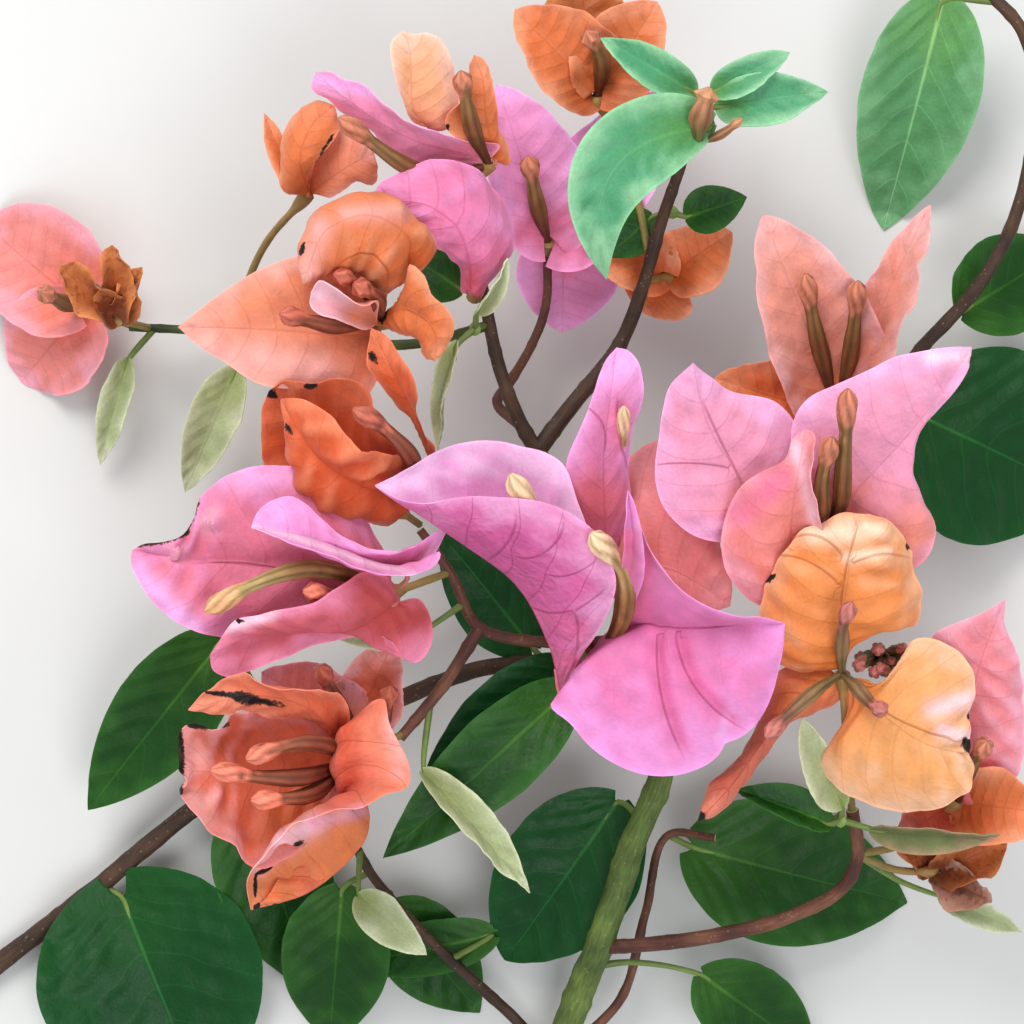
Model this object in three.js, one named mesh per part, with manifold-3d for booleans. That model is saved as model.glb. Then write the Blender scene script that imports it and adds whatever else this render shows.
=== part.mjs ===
// A flowering branch of bougainvillea, cut and laid down, with its papery three-bract blooms,
// their narrow tube flowers, its stems and its leaves.
// Millimetres. The branch rests on the plane Z = 0 and runs along Y, with its cut end at -Y.
// Its blooms face up, so it is looked at from straight above, +X to the right and +Y up.

import * as THREE from "three";
import { mergeVertices } from "three/addons/utils/BufferGeometryUtils.js";
import { ParametricGeometry } from "three/addons/geometries/ParametricGeometry.js";
import Module from "manifold-3d";

const wasm = await Module();
wasm.setup();

// Places in the tables are as they look from an eye this high over the middle of the branch.
const EYE_HEIGHT = 760;
// At this height a place in the tables is a true one. Lower down it is spread, higher up drawn in.
const TRUE_HEIGHT = 60;
// The middle of the outline of the branch on the surface that it rests on.
const MIDDLE = [0.4, -8.7];

// Sizes that every piece shares.
const CLEARANCE = 0.3;
const BLADE_THICKNESS = 0.6;
const HUB_RADIUS = 2.8;
const STALK_RADIUS = 0.8;
// How far from the middle of its bloom a bract starts, and how far apart in height they start.
const FOOT_REACH = 1.6;
const LAYER = 1.6;
const LEAF_STALK_RADIUS = 0.6;
// How far a leaf's stalk runs on into its blade, as a share of the blade.
const STALK_SINK = 0.1;
const FLOWER_RADIUS = 1.9;

// The radius of a tube flower along its length, as a share of its full radius.
const FLOWER_PROFILE = [[0, 0.5], [0.2, 0.62], [0.42, 0.95], [0.64, 0.74], [0.82, 1], [0.94, 0.86], [1, 0.5]];

// How finely the faceted solids are cut.
const BLADE_STEP = 8.5;
const FEWEST_BLADE_ROWS = 4;
const MOST_BLADE_ROWS = 7;
const BLADE_COLUMNS = 2;
const STEM_SIDES = 6;
const STALK_SIDES = 3;
const FLOWER_SIDES = 4;
const FLOWER_ROWS = 5;
const LIMB_STEP = 12;
const SHORTEST_LIMB_ROWS = 2;
// How far a cut surface may move when its faces are made fewer.
const FACET_SLACK = 0.08;

// Points closer together than this are one point.
const SAME_POINT = 1e-4;
// A small step along or across a blade, to find which way its surface runs.
const NUDGE = 0.01;

const UP = new THREE.Vector3(0, 0, 1);

// What a bract or a leaf is like where its own entry doesn't say. half is the width of each half.
// fold and curl lift the halves towards the face, in degrees, and roll turns the face to the right.
// bow and sway bend the midrib towards the face and sideways, and heart draws the two sides of the
// foot back, as shares of the length. shoulder and point shape the outline.
const BRACT = {
  roll: 0, fold: 14, foldTip: null, curl: 14, bow: 0.06, sway: 0, heart: 0.16, shoulder: 0.42, point: 0.75,
};
const LEAF = {
  roll: 0, fold: 10, foldTip: null, curl: 6, bow: 0.05, sway: 0, heart: 0.05, shoulder: 0.55, point: 0.95,
};

// Stems: the places that each passes through, and its radius at its foot and its tip. Each starts
// on the axis of the stem that bears it.
const STEMS = {
  main_stem: {
    path: [[7, -118, 3.4], [12, -100, 12], [17.5, -86.5, 22], [24.5, -65.5, 31], [30, -52, 36],
      [31, -38, 40], [26, -22, 42], [15, -6, 42], [5, 12, 40]],
    radius: [3.4, 1.9], tone: "olive",
  },
  upper_stem: {
    path: [[5, 12, 40], [12.5, 22, 39], [21.5, 33.5, 38], [26.5, 46, 40], [29.5, 57, 43], [33, 67, 48],
      [37, 79, 54]],
    radius: [1.8, 1.0], tone: "brown",
  },
  upper_left_arm: {
    path: [[5, 12, 40], [1.6, 18, 40], [-2.4, 28.4, 41], [-4.4, 37.4, 41], [-6.4, 46.4, 41],
      [-11.4, 58.4, 43], [-17.4, 68.4, 44]],
    radius: [1.6, 0.9], tone: "brown",
  },
  cyme_stem: {
    path: [[2, 17, 40], [-3, 22, 31], [-0.4, 26, 26], [3.2, 32, 24], [6.6, 40.4, 22], [7.2, 52.4, 24]],
    radius: [1.1, 0.9], tone: "maroon",
  },
  left_fork: {
    path: [[27, -25, 42], [18, -26, 41], [6.6, -26, 42], [-6.4, -23.2, 45], [-12.4, -12, 50],
      [-18.4, -3.6, 52]],
    radius: [1.4, 0.9], tone: "maroon",
  },
  left_fork_lower: {
    path: [[-6.4, -23.2, 45], [-14.4, -35.6, 46], [-22.4, -45.2, 46]],
    radius: [1.4, 1.1], tone: "maroon",
  },
  rear_left_stem: {
    path: [[27.5, -27, 41], [9.6, -29.6, 33], [-6.4, -31.4, 26], [-23, -37.6, 20], [-44.4, -47.6, 14],
      [-64.4, -60, 9], [-82.4, -74.6, 5.4], [-100.4, -88.6, 3.2], [-112, -97, 2.1]],
    radius: [1.6, 2.1], tone: "brown",
  },
  right_branch: {
    path: [[17.5, -87, 22], [25.6, -86.6, 26], [37.6, -85.2, 31], [53.6, -81.6, 36], [65.6, -75.6, 41],
      [69.2, -68.6, 45], [68, -59.6, 49]],
    radius: [1.6, 1.3], tone: "maroon",
  },
  thin_red_stem: {
    path: [[9.5, -109, 7.6], [21.6, -97.6, 11], [26.6, -80.6, 16], [31.2, -64.6, 22], [40.6, -65.2, 24]],
    radius: [1.1, 0.8], tone: "maroon",
  },
  lower_left_stem: {
    path: [[9, -111, 6.4], [1.6, -102.4, 9], [-16.4, -85.6, 18], [-28.4, -72, 26], [-32.4, -62.6, 31],
      [-32.4, -52, 34]],
    radius: [1.3, 0.9], tone: "brown",
  },
  rear_right_stem: {
    path: [[27, -24, 42], [41.6, -9.6, 31], [57.6, 6.4, 25], [71.6, 20.4, 22], [82.6, 33.4, 22],
      [92.6, 44.4, 24], [99.6, 56.4, 26], [103.6, 70.4, 27], [104.8, 84.4, 27], [102, 96.4, 25],
      [94.6, 104.4, 22]],
    radius: [1.6, 1.3], tone: "brown",
  },
  left_arm_twig: {
    path: [[-4.4, 37.4, 41], [-13.4, 34.8, 37], [-22.4, 33.4, 32], [-42.4, 35.4, 23], [-64.4, 36.4, 15],
      [-76.4, 37, 12]],
    radius: [1.1, 0.9], tone: "green_stem",
  },
};

// Blooms: three bracts round a hub, a tube flower on each, and the stalk that carries them, which
// starts on the axis of a stem. A flower is given by the places that it passes through to its tip.
const BLOOMS = {
  bloom_centre_pink: {
    centre: [17, -31, 56], stalk: [[30, -36, 40.5]], tone: "pink",
    bracts: [
      { foot: [13, -34, 56], tip: [-26.8, 4.8, 70], half: [25, 31], roll: 82, fold: [52, 46], heart: 0.1 },
      { foot: [21, -28, 58], tip: [54.6, -22.6, 76], half: 27, roll: 8, fold: [52, -4], foldTip: [84, 6],
        heart: [0.1, 0.4], curl: 8, shoulder: 0.36 },
      { foot: [22, -27, 58], tip: [23.4, 3.6, 84], half: [5, 7], roll: -30, fold: 30 },
    ],
    flowers: [[[21, -17, 70], [15.6, -5.2, 79]], [[11, -14, 66], [0, 5, 74]]],
  },
  bloom_centre_upper: {
    centre: [22, -14, 50], stalk: [[22, -16.4, 42]], tone: "pink",
    bracts: [
      { foot: [19, -11, 51], tip: [22, 33, 68], half: [8, 6], roll: 10, fold: [20, 50], bow: 0.06 },
      { tip: [43, -17, 56], half: [17, 8], roll: 0, fold: 8 },
    ],
    flowers: [[[22, 4, 60], [22.4, 22, 68]]],
  },
  bloom_right_pink: {
    centre: [58, -6, 58], stalk: [[57.6, 6.4, 25]], tone: "pink",
    bracts: [
      { foot: [53.6, -4, 60], tip: [36.6, 29.4, 72], half: [16, 16], fold: 12, heart: 0.24 },
      { foot: [65, -4, 60], tip: [92, 32.8, 78], half: [12, 17], roll: -14, fold: 22 },
      { foot: [57.6, -12, 60], tip: [57.6, 17.6, 76], half: [14, 5], roll: -10, fold: [16, 60], heart: 0.2 },
    ],
    flowers: [[[66, 4, 72], [67.2, 24.4, 84]], [[61.5, 0, 70], [63.6, 14.4, 81]]],
  },
  bloom_right_orange: {
    centre: [66, -32.4, 62], stalk: [[68, -59.6, 49]], tone: "yellow_orange",
    bracts: [
      { tip: [69.8, -0.6, 76], half: [17, 15], fold: 8, curl: 14, heart: 0.1, point: 0.42 },
      { foot: [67.6, -34, 62], tip: [91, -47.8, 66], half: [16, 20], fold: 4, curl: 10, heart: 0.4,
        point: 0.45 },
      { tip: [37.8, -60.6, 60], half: [12, 12], roll: 30, fold: [60, 40], foldTip: [80, 70] },
    ],
    flowers: [[[66.2, -25, 72], [68, -18.8, 80]], [[58, -39, 70], [51.2, -44.6, 74]],
      [[70, -36, 72], [73.6, -39.4, 79]]],
  },
  bloom_right_edge: {
    centre: [89, -58, 46], stalk: [[69.2, -68.6, 45], [79, -66, 43]], tone: "pink",
    bracts: [
      { tip: [98.2, -17.8, 62], half: [17, 13], fold: 12 },
      { tip: [107, -60, 54], half: 9, fold: 20 },
      { tip: [77, -65, 51], half: 8, fold: 20 },
    ],
    flowers: [[[91, -52, 56], [95, -46, 66]]],
  },
  bloom_right_dried: {
    centre: [84.6, -72, 38], stalk: [[69.2, -68.6, 45], [77, -71.6, 41]], tone: "red_orange",
    bracts: [
      { tip: [99, -66, 42], half: 6, fold: 30 },
      { tip: [96, -78, 42], half: 6, fold: 40 },
      { tip: [78, -64, 38], half: 5, fold: 30 },
    ],
    flowers: [],
  },
  bloom_upper_right: {
    centre: [65.2, 19, 34], stalk: [[71.6, 20.4, 22]], tone: "salmon",
    bracts: [
      { tip: [50.2, 59.4, 50], half: [10, 15], fold: 14 },
      { tip: [83.6, 61.4, 50], half: [6, 10], roll: -20, fold: 30 },
      { tip: [40.6, 26.8, 38], half: 9, fold: 20 },
    ],
    flowers: [[[61, 35, 46], [58.6, 47.4, 54]], [[68, 34, 46], [69.2, 46, 54]]],
  },
  bloom_rear_pink: {
    centre: [7.2, 54, 28], stalk: [[7.2, 51.4, 24]], tone: "pink",
    bracts: [
      { tip: [-3, 85.4, 40], half: [9, 13], fold: 14 },
      { tip: [30, 84, 34], half: [10, 13], fold: 10 },
      { foot: [10.4, 53, 23], tip: [10, 36, 15], half: [12, 10], fold: -8, bow: -0.05 },
    ],
    flowers: [[[5, 62, 38], [3.2, 71, 44]]],
  },
  bloom_top_orange: {
    centre: [17, 83, 42], stalk: [[27.6, 50.4, 41], [24.6, 64.4, 38], [20, 77, 38]], tone: "orange",
    bracts: [
      { tip: [29, 102, 46], half: [10, 9], fold: 14 },
      { tip: [0.6, 100.4, 50], half: [8, 12], fold: 20 },
      { tip: [13, 109, 43], half: 11, fold: 8 },
    ],
    flowers: [[[18, 90, 50], [15, 96, 56]]],
  },
  bloom_rear_orange: {
    centre: [31, 47, 30], stalk: [[26.5, 46, 40]], tone: "orange",
    bracts: [
      { tip: [13, 60, 34], half: [8, 7], fold: 16 },
      { tip: [44, 56, 36], half: [8, 8], fold: 16 },
      { tip: [26, 40, 28], half: 9, fold: 16 },
    ],
    flowers: [],
  },
  bloom_top_left_pink: {
    centre: [-4.6, 69.4, 48], stalk: [[-11.4, 58.4, 43]], tone: "pink",
    bracts: [
      { tip: [-39.6, 88.6, 56], half: [14, 8], roll: 0, fold: [10, 70] },
      { foot: [-14, 75, 50], tip: [-19.2, 96.4, 58], half: [7.5, 7], fold: 10, point: 0.4, tone: "salmon" },
      { foot: [-2.6, 69.4, 48], tip: [-8, 91.8, 56], half: [9, 4], fold: [14, 40], tone: "orange" },
    ],
    flowers: [[[-8, 77, 56], [-10.2, 88, 62]], [[-13, 66, 58], [-21, 69, 61], [-34.4, 78.8, 66]]],
  },
  bloom_left_round: {
    centre: [-7.6, 43, 47], stalk: [[-6.4, 46.4, 41]], tone: "pink",
    bracts: [
      { tip: [-26.6, 64.6, 60], half: [3, 18], fold: [10, 8], bow: 0.08, heart: [0, 0.3], point: 0.5 },
    ],
    flowers: [],
  },
  bloom_left_orange: {
    centre: [-26.6, 38, 57], stalk: [[-13.4, 34.8, 37]], tone: "orange",
    bracts: [
      { foot: [-28, 35.4, 56], tip: [-66.4, 38, 64], half: [11, 15], fold: 6 },
      { foot: [-27, 44, 62], tip: [-31, 62.6, 74], half: [17, 15], fold: -4, bow: 0.2, curl: -24,
        heart: 0.5, point: 0.4 },
      { tip: [-12, 37.4, 62], half: [12, 7], fold: 20, heart: 0.1 },
      { foot: [-28, 38.4, 60], tip: [-40.6, 43.2, 68], half: 5, fold: 30 },
    ],
    flowers: [[[-36, 37.4, 66], [-46.4, 40, 72]], [[-29, 43, 68], [-33, 46, 72]],
      [[-30, 46, 66], [-36, 47.6, 70]]],
  },
  bloom_left_crumpled: {
    centre: [-22, 0, 54], stalk: [[-18.4, -2.6, 52]], tone: "orange",
    bracts: [
      { foot: [-17, 10, 58], tip: [-28, 36.2, 68], half: 5, fold: 30 },
      { foot: [-21, 6, 56], tip: [-46.4, 25.6, 62], half: [8, 12], fold: 10 },
      { tip: [-48.4, 22, 68], half: [17, 12], roll: 70, fold: 45, bow: -0.22, curl: 30 },
    ],
    flowers: [[[-21, 9, 66], [-22.4, 13, 70], [-31.8, 20.8, 74]]],
  },
  bloom_left_pink: {
    centre: [-23.4, -16, 56], stalk: [[-12.4, -12, 50]], tone: "pink",
    bracts: [
      { tip: [-76, -8.4, 62], half: [14, 17], fold: 8, heart: 0.02, shoulder: 0.6, point: 0.55 },
      { foot: [-22, -13.6, 60], tip: [-51.6, -3.2, 75], half: [8, 11], roll: 50, fold: 30, heart: 0.3 },
      { foot: [-23, -17.6, 60], tip: [-60.6, -29, 70], half: [12, 11], roll: -14, fold: 30, heart: 0.2 },
    ],
    flowers: [[[-36.4, -13, 66], [-51.4, -16, 70], [-61.4, -19.6, 70]], [[-32, -17, 66], [-42, -16.5, 70]]],
  },
  bloom_lower_cup: {
    centre: [-33, -50, 52], stalk: [[-21.4, -44.2, 46]], tone: "red_orange",
    bracts: [
      { foot: [-34.8, -46, 55], tip: [-64.6, -39.6, 68], half: 9, roll: -40, fold: 30 },
      { tip: [-66.6, -50, 64], half: [21, 12], fold: [12, 16], curl: 24, heart: 0.02, shoulder: 0.6, point: 0.5 },
      { foot: [-30, -46, 52], tip: [-51.2, -79.6, 60], half: [14, 18], fold: [34, 10], foldTip: [160, 40],
        sway: -0.32, bow: -0.1, heart: [0.1, 0.1], shoulder: 0.36 },
    ],
    flowers: [[[-46, -50, 66], [-59.8, -51.6, 70]], [[-41, -46, 66], [-52.6, -49.6, 73]],
      [[-40, -56, 64], [-51.6, -57.4, 70]]],
  },
  bloom_lower_rear: {
    centre: [-31.4, -43, 40], stalk: [[-32.4, -52, 34]], tone: "salmon",
    bracts: [
      { tip: [-50, -32, 46], half: 9, fold: 14 },
      { tip: [-24, -26.6, 48], half: 8, fold: 14 },
    ],
    flowers: [[[-35, -38, 50], [-38.4, -31, 58]]],
  },
  bloom_small_orange: {
    centre: [-41, 63.4, 46], stalk: [[-56.4, 36, 17.9], [-50, 52.4, 30]], tone: "orange",
    bracts: [
      { tip: [-49.6, 80, 50], half: [2, 5], fold: 30 },
      { tip: [-37.4, 82, 56], half: [9, 7], fold: -6, bow: 0.15, curl: -30, point: 0.4 },
      { tip: [-26.8, 70.4, 50], half: [6, 8], fold: 14 },
    ],
    flowers: [],
  },
  bloom_left_edge: {
    centre: [-85.4, 40.8, 12], stalk: [[-75.4, 37, 12.2]], tone: "salmon",
    bracts: [
      { tip: [-106, 58, -1], half: [13, 14], fold: 8 },
      { tip: [-98, 26, -1], half: [12, 12], fold: 8 },
    ],
    flowers: [[[-90, 42, 22], [-94, 44, 30]]],
  },
  bloom_left_dried: {
    centre: [-79, 38.4, 24], stalk: [[-72.4, 36.8, 13]], tone: "orange",
    bracts: [
      { tip: [-90.4, 49.4, 32], half: 5, fold: 30 },
      { tip: [-80, 53.4, 32], half: 5, fold: 30 },
      { tip: [-74, 49, 30], half: 4, fold: 30 },
    ],
    flowers: [],
  },
};

// Leaves: the stalk runs from the axis of a stem to the foot of the blade.
const LEAVES = {
  leaf_middle: { stalk: [[27, -25, 42]], foot: [11, -36, 40], tip: [-25.8, -69.2, 41], half: 9, tone: "leaf" },
  leaf_middle_rear: { stalk: [[18, -26, 41]], foot: [11, -31, 35], tip: [-17.4, -52, 33], half: 8,
    tone: "dark_leaf" },
  leaf_lower_dark: { stalk: [[26.4, -62, 32.4]], foot: [21, -58, 24], tip: [-1.4, -89.6, 9], half: 15,
    tone: "dark_leaf", point: 0.8 },
  leaf_lower_folded: { stalk: [[-16.4, -38.2, 46]], foot: [-17.4, -52.6, 46], tip: [3.6, -76.2, 42],
    half: 5.5, roll: -20, fold: 45, tone: "pale_leaf" },
  leaf_lower_pale: { stalk: [[-30.4, -67.6, 28.5]], foot: [-30.4, -77, 33], tip: [-17, -88.6, 36], half: 5,
    tone: "pale_leaf", fold: 20 },
  leaf_lower_left_big: { stalk: [[-82.4, -74.6, 5.4]], foot: [-78, -77, 6], tip: [-61, -118, -4], half: 25,
    tone: "dark_leaf", heart: 0.12 },
  leaf_left_middle: { stalk: [[-44.4, -47.6, 14]], foot: [-58, -26, 24], tip: [-84.8, -59.6, 12], half: 11,
    tone: "leaf" },
  leaf_lower_middle: { stalk: [[-28.4, -72, 26]], foot: [-34, -75.6, 17], tip: [-36.4, -106, -1], half: 12,
    tone: "leaf" },
  leaf_lower_narrow: { stalk: [[-12, -89.4, 15.8]], foot: [-4, -84.6, 13], tip: [-35.4, -90.6, 8], half: 6,
    tone: "leaf" },
  leaf_lower_right: { stalk: [[15.6, -91, 19.4], [24, -90, 20]], foot: [38, -92.6, 19],
    tip: [60, -108, -1], half: 10, tone: "leaf" },
  leaf_lower_rear: { stalk: [[31.2, -64.6, 22]], foot: [36, -67, 18], tip: [79, -78, -1], half: 16,
    tone: "leaf" },
  leaf_lower_low: { stalk: [[-24.4, -76.2, 23]], foot: [-24, -79, 10], tip: [-6.4, -100, -1], half: 10,
    tone: "leaf" },
  leaf_left_low: { stalk: [[-54.4, -53.8, 11.4]], foot: [-52, -57, 10], tip: [-40, -96, -2], half: 13,
    tone: "leaf" },
  leaf_centre_low: { stalk: [[6.6, -29.8, 31.8]], foot: [4, -27, 28], tip: [-14.4, -4, 22], half: 9,
    tone: "dark_leaf" },
  leaf_top_right: { stalk: [[97, 102, 23]], foot: [86, 102, 20], tip: [74, 56, -3], half: 13, tone: "leaf" },
  leaf_right_big: { stalk: [[73, 22, 22]], foot: [80, 20, 19], tip: [113, 4, -4], half: 22,
    tone: "dark_leaf" },
  leaf_right_small: { stalk: [[86.6, 38, 22.6]], foot: [90, 40, 20], tip: [110, 52.4, 6], half: 11,
    tone: "leaf" },
  leaf_left_cream: { stalk: [[-54.4, 36, 18.7]], foot: [-55.4, 28, 19], tip: [-65.4, 4, 14], half: 6,
    tone: "pale_leaf", fold: 20 },
  leaf_left_pale: { stalk: [[-71.4, 36.8, 13.2]], foot: [-77, 30, 12], tip: [-82.4, 9.4, 6], half: 4,
    tone: "pale_leaf", fold: 30 },
  leaf_left_olive: { stalk: [[-9.4, -18.2, 47.4]], foot: [-19.4, -24.6, 50], tip: [-35.4, -25, 54], half: 3.4,
    tone: "pale_leaf", fold: 20 },
  leaf_right_low: { stalk: [[69.2, -68.6, 45], [78, -74, 36]], foot: [86, -77, 36], tip: [102, -84, 34],
    half: 3.6, fold: 30, tone: "pale_leaf" },
  leaf_rear_left: { stalk: [[-6.4, 44, 41]], foot: [-10, 44.4, 37], tip: [-22, 52, 31], half: 6,
    tone: "leaf" },
};

// Small leaves that spread from one bud, which a short stalk joins to the axis of a stem.
const SHOOTS = {
  shoot_top: {
    bud: [38, 81, 58], stalk: [[36.4, 77, 53]],
    leaves: [
      { foot: [40, 77, 61], tip: [19, 46.4, 58], half: 9, sway: 0.3, bow: 0.16, fold: 6, tone: "young_leaf" },
      { foot: [36, 84, 58], tip: [17.6, 94.8, 59], half: 4.6, fold: 24, tone: "young_leaf" },
      { foot: [40.6, 84, 58], tip: [55.6, 92, 61], half: 4, fold: 24, tone: "young_leaf" },
      { foot: [41.6, 81, 57], tip: [63.2, 84, 59], half: 6, fold: 20, tone: "young_leaf" },
    ],
  },
  shoot_top_low: {
    bud: [32, 60, 39], stalk: [[30, 58.4, 43.6]],
    leaves: [
      { foot: [35, 59, 39], tip: [47, 63, 41], half: 5, tone: "leaf" },
      { foot: [28, 59, 38], tip: [19, 51, 37], half: 5, tone: "leaf" },
    ],
  },
  shoot_right: {
    bud: [65.6, -61.6, 52.4], stalk: [[68, -61.6, 48]],
    leaves: [
      { foot: [63, -62.6, 52], tip: [44.6, -55.6, 54], half: 5, roll: 30, fold: 30, tone: "leaf" },
      { foot: [72.6, -63.6, 53], tip: [97.6, -64.6, 60], half: 4, roll: 30, fold: 30, tone: "pale_leaf" },
      { foot: [66, -58.4, 54], tip: [58, -41, 59], half: [6, 3], fold: 30, tone: "pale_leaf" },
    ],
  },
  shoot_upper_left: {
    bud: [-7.4, 36.6, 45], stalk: [[-5, 37.4, 41]],
    leaves: [
      { foot: [-11, 33.4, 45], tip: [-14.8, 12.4, 43], half: 3, roll: 40, fold: 40, tone: "pale_leaf" },
      { foot: [-7, 40, 48], tip: [-0.8, 50.8, 55], half: 3, roll: 40, fold: 40, tone: "pale_leaf" },
    ],
  },
};

// Colours of the plain pieces.
const TONES = {
  pink: 0xee8fb4,
  salmon: 0xee8e80,
  orange: 0xea8040,
  yellow_orange: 0xf2a660,
  red_orange: 0xdc5c3c,
  leaf: 0x3f7a3a,
  young_leaf: 0x6fb784,
  dark_leaf: 0x1f5230,
  pale_leaf: 0xbfc69c,
  olive: 0x5d552f,
  brown: 0x35211a,
  maroon: 0x5c2b2b,
  green_stem: 0x6c7a3a,
};

// Where a place in the tables really is.
function seen([x, y, z]) {
  const spread = (EYE_HEIGHT - z) / (EYE_HEIGHT - TRUE_HEIGHT);
  return new THREE.Vector3(x * spread, y * spread, z);
}

function between(here, there, share) {
  return here.map((at, axis) => THREE.MathUtils.lerp(at, there[axis], share));
}

function pair(value) {
  return Array.isArray(value) ? value : [value, value];
}

// A closed solid whose skin is place(around, along), with its first and last rows drawn to a point.
function skin(place, around, along) {
  const geometry = new ParametricGeometry(
    (u, v, target) => target.copy(place(Math.round(u * around) % around, Math.round(v * along))),
    around, along,
  );
  geometry.deleteAttribute("normal");
  geometry.deleteAttribute("uv");
  const merged = mergeVertices(geometry, SAME_POINT);
  const corners = merged.index.array;
  const faces = [];
  for (let i = 0; i < corners.length; i += 3) {
    const face = [corners[i], corners[i + 1], corners[i + 2]];
    if (new Set(face).size === 3) faces.push(...face);
  }
  return new wasm.Manifold(new wasm.Mesh({
    numProp: 3,
    vertProperties: merged.attributes.position.array,
    triVerts: Uint32Array.from(faces),
  }));
}

// A round limb along a curve, with flat ends. radiusAt gives its radius from foot (0) to tip (1).
function limb(curve, radiusAt, rows, sides, extra) {
  const frames = curve.computeFrenetFrames(rows);
  const place = (side, row) => {
    const step = THREE.MathUtils.clamp(row - 1, 0, rows);
    const share = step / rows;
    const flatEnd = row === 0 || row === rows + 2;
    const radius = flatEnd ? 0 : radiusAt(share) + extra / Math.cos(Math.PI / sides);
    const angle = (2 * Math.PI * side) / sides;
    const overshoot = (share === 0 ? -extra : 0) + (share === 1 ? extra : 0);
    return curve.getPointAt(share)
      .addScaledVector(frames.tangents[step], overshoot)
      .addScaledVector(frames.normals[step], radius * Math.cos(angle))
      .addScaledVector(frames.binormals[step], radius * Math.sin(angle));
  };
  return skin(place, sides, rows + 2);
}

function curveThrough(points) {
  return new THREE.CatmullRomCurve3(points, false, "centripetal");
}

function stemSolid(points, [footRadius, tipRadius], extra, sides = STEM_SIDES) {
  const curve = curveThrough(points);
  const rows = Math.max(SHORTEST_LIMB_ROWS, Math.round(curve.getLength() / LIMB_STEP));
  return limb(curve, (share) => THREE.MathUtils.lerp(footRadius, tipRadius, share), rows, sides, extra);
}

function stalkSolid(points, radius, extra) {
  return stemSolid(points, [radius, radius], extra, STALK_SIDES);
}

function flowerSolid(points, extra) {
  const radiusAt = (share) => {
    const next = Math.max(1, FLOWER_PROFILE.findIndex(([at]) => at >= share - SAME_POINT));
    const [[a, low], [b, high]] = [FLOWER_PROFILE[next - 1], FLOWER_PROFILE[next]];
    return FLOWER_RADIUS * THREE.MathUtils.mapLinear(share, a, b, low, high);
  };
  return limb(curveThrough(points), radiusAt, FLOWER_ROWS, FLOWER_SIDES, extra);
}

// The width of a blade along its midrib, as a share of its full width: round at the foot, and
// pointed at the tip.
function outline(u, { shoulder, point }) {
  const widest = shoulder / (shoulder + point);
  const share = THREE.MathUtils.clamp(u, 0, 1);
  return (share / widest) ** shoulder * ((1 - share) / (1 - widest)) ** point;
}

// The middle surface of a blade, grown past its margins by extra. u goes from foot to tip, and v
// from the left margin, -1, to the right one, 1.
function bladeSurface(blade, extra) {
  const along = seen(blade.tip).sub(seen(blade.foot)).normalize();
  const foot = seen(blade.foot).addScaledVector(along, -extra);
  const tip = seen(blade.tip).addScaledVector(along, extra);
  const length = foot.distanceTo(tip);
  const face = UP.clone().projectOnPlane(along).normalize()
    .applyAxisAngle(along, THREE.MathUtils.degToRad(blade.roll));
  const side = along.clone().cross(face);
  const halves = pair(blade.half);
  const folds = pair(blade.fold);
  const tipFolds = pair(blade.foldTip ?? blade.fold);
  const hearts = pair(blade.heart);

  const midrib = (u) => foot.clone()
    .addScaledVector(along, length * u)
    .addScaledVector(face, length * 4 * blade.bow * u * (1 - u))
    .addScaledVector(side, length * 4 * blade.sway * u * (1 - u));

  return (u, v) => {
    const ahead = midrib(u + NUDGE).sub(midrib(u - NUDGE)).normalize();
    const up = face.clone().projectOnPlane(ahead).normalize();
    const out = ahead.clone().cross(up);
    const hand = v < 0 ? 0 : 1;
    const reach = Math.abs(v) * (halves[hand] * outline(u, blade) + extra);
    const fold = THREE.MathUtils.degToRad(THREE.MathUtils.lerp(folds[hand], tipFolds[hand], u));
    const bend = THREE.MathUtils.degToRad(blade.curl) / halves[hand];
    const across = (Math.sin(fold + bend * reach) - Math.sin(fold)) / bend;
    const rise = (Math.cos(fold) - Math.cos(fold + bend * reach)) / bend;
    const setBack = hearts[hand] * length * v * v * (1 - u) ** 3;
    return midrib(u)
      .addScaledVector(out, Math.sign(v) * across)
      .addScaledVector(up, rise)
      .addScaledVector(along, -setBack);
  };
}

// Where a stalk ends, a little way up the midrib of the blade that it carries.
function stalkEnd(blade) {
  return bladeSurface(blade, 0)(STALK_SINK, 0);
}

// A blade with its thickness, down to the surface that the branch rests on and no lower.
function bladeSolid(blade, extra) {
  const surface = bladeSurface(blade, extra);
  const half = BLADE_THICKNESS / 2 + extra;
  const lying = (at) => at.setZ(Math.max(at.z, BLADE_THICKNESS / 2));
  const columns = BLADE_COLUMNS + 1;
  const length = seen(blade.foot).distanceTo(seen(blade.tip));
  const rows = THREE.MathUtils.clamp(Math.round(length / BLADE_STEP), FEWEST_BLADE_ROWS, MOST_BLADE_ROWS);
  const place = (around, row) => {
    const u = 0.5 - 0.5 * Math.cos((Math.PI * row) / rows);
    if (row === 0 || row === rows) {
      return lying(surface(u, 0));
    }
    const onFace = around < columns;
    const column = onFace ? around : 2 * columns - 1 - around;
    const v = (2 * column) / BLADE_COLUMNS - 1;
    const alongBlade = surface(u + NUDGE, v).sub(surface(u - NUDGE, v));
    const inner = THREE.MathUtils.clamp(v, NUDGE - 1, 1 - NUDGE);
    const acrossBlade = surface(u, inner + NUDGE).sub(surface(u, inner - NUDGE));
    const normal = acrossBlade.cross(alongBlade).normalize();
    return lying(surface(u, v)).addScaledVector(normal, onFace ? half : -half);
  };
  return skin(place, 2 * columns, rows);
}

function hubSolid(centre, extra) {
  const ball = new THREE.IcosahedronGeometry(HUB_RADIUS + extra);
  ball.translate(...seen(centre).toArray());
  return closed(ball);
}

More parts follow.
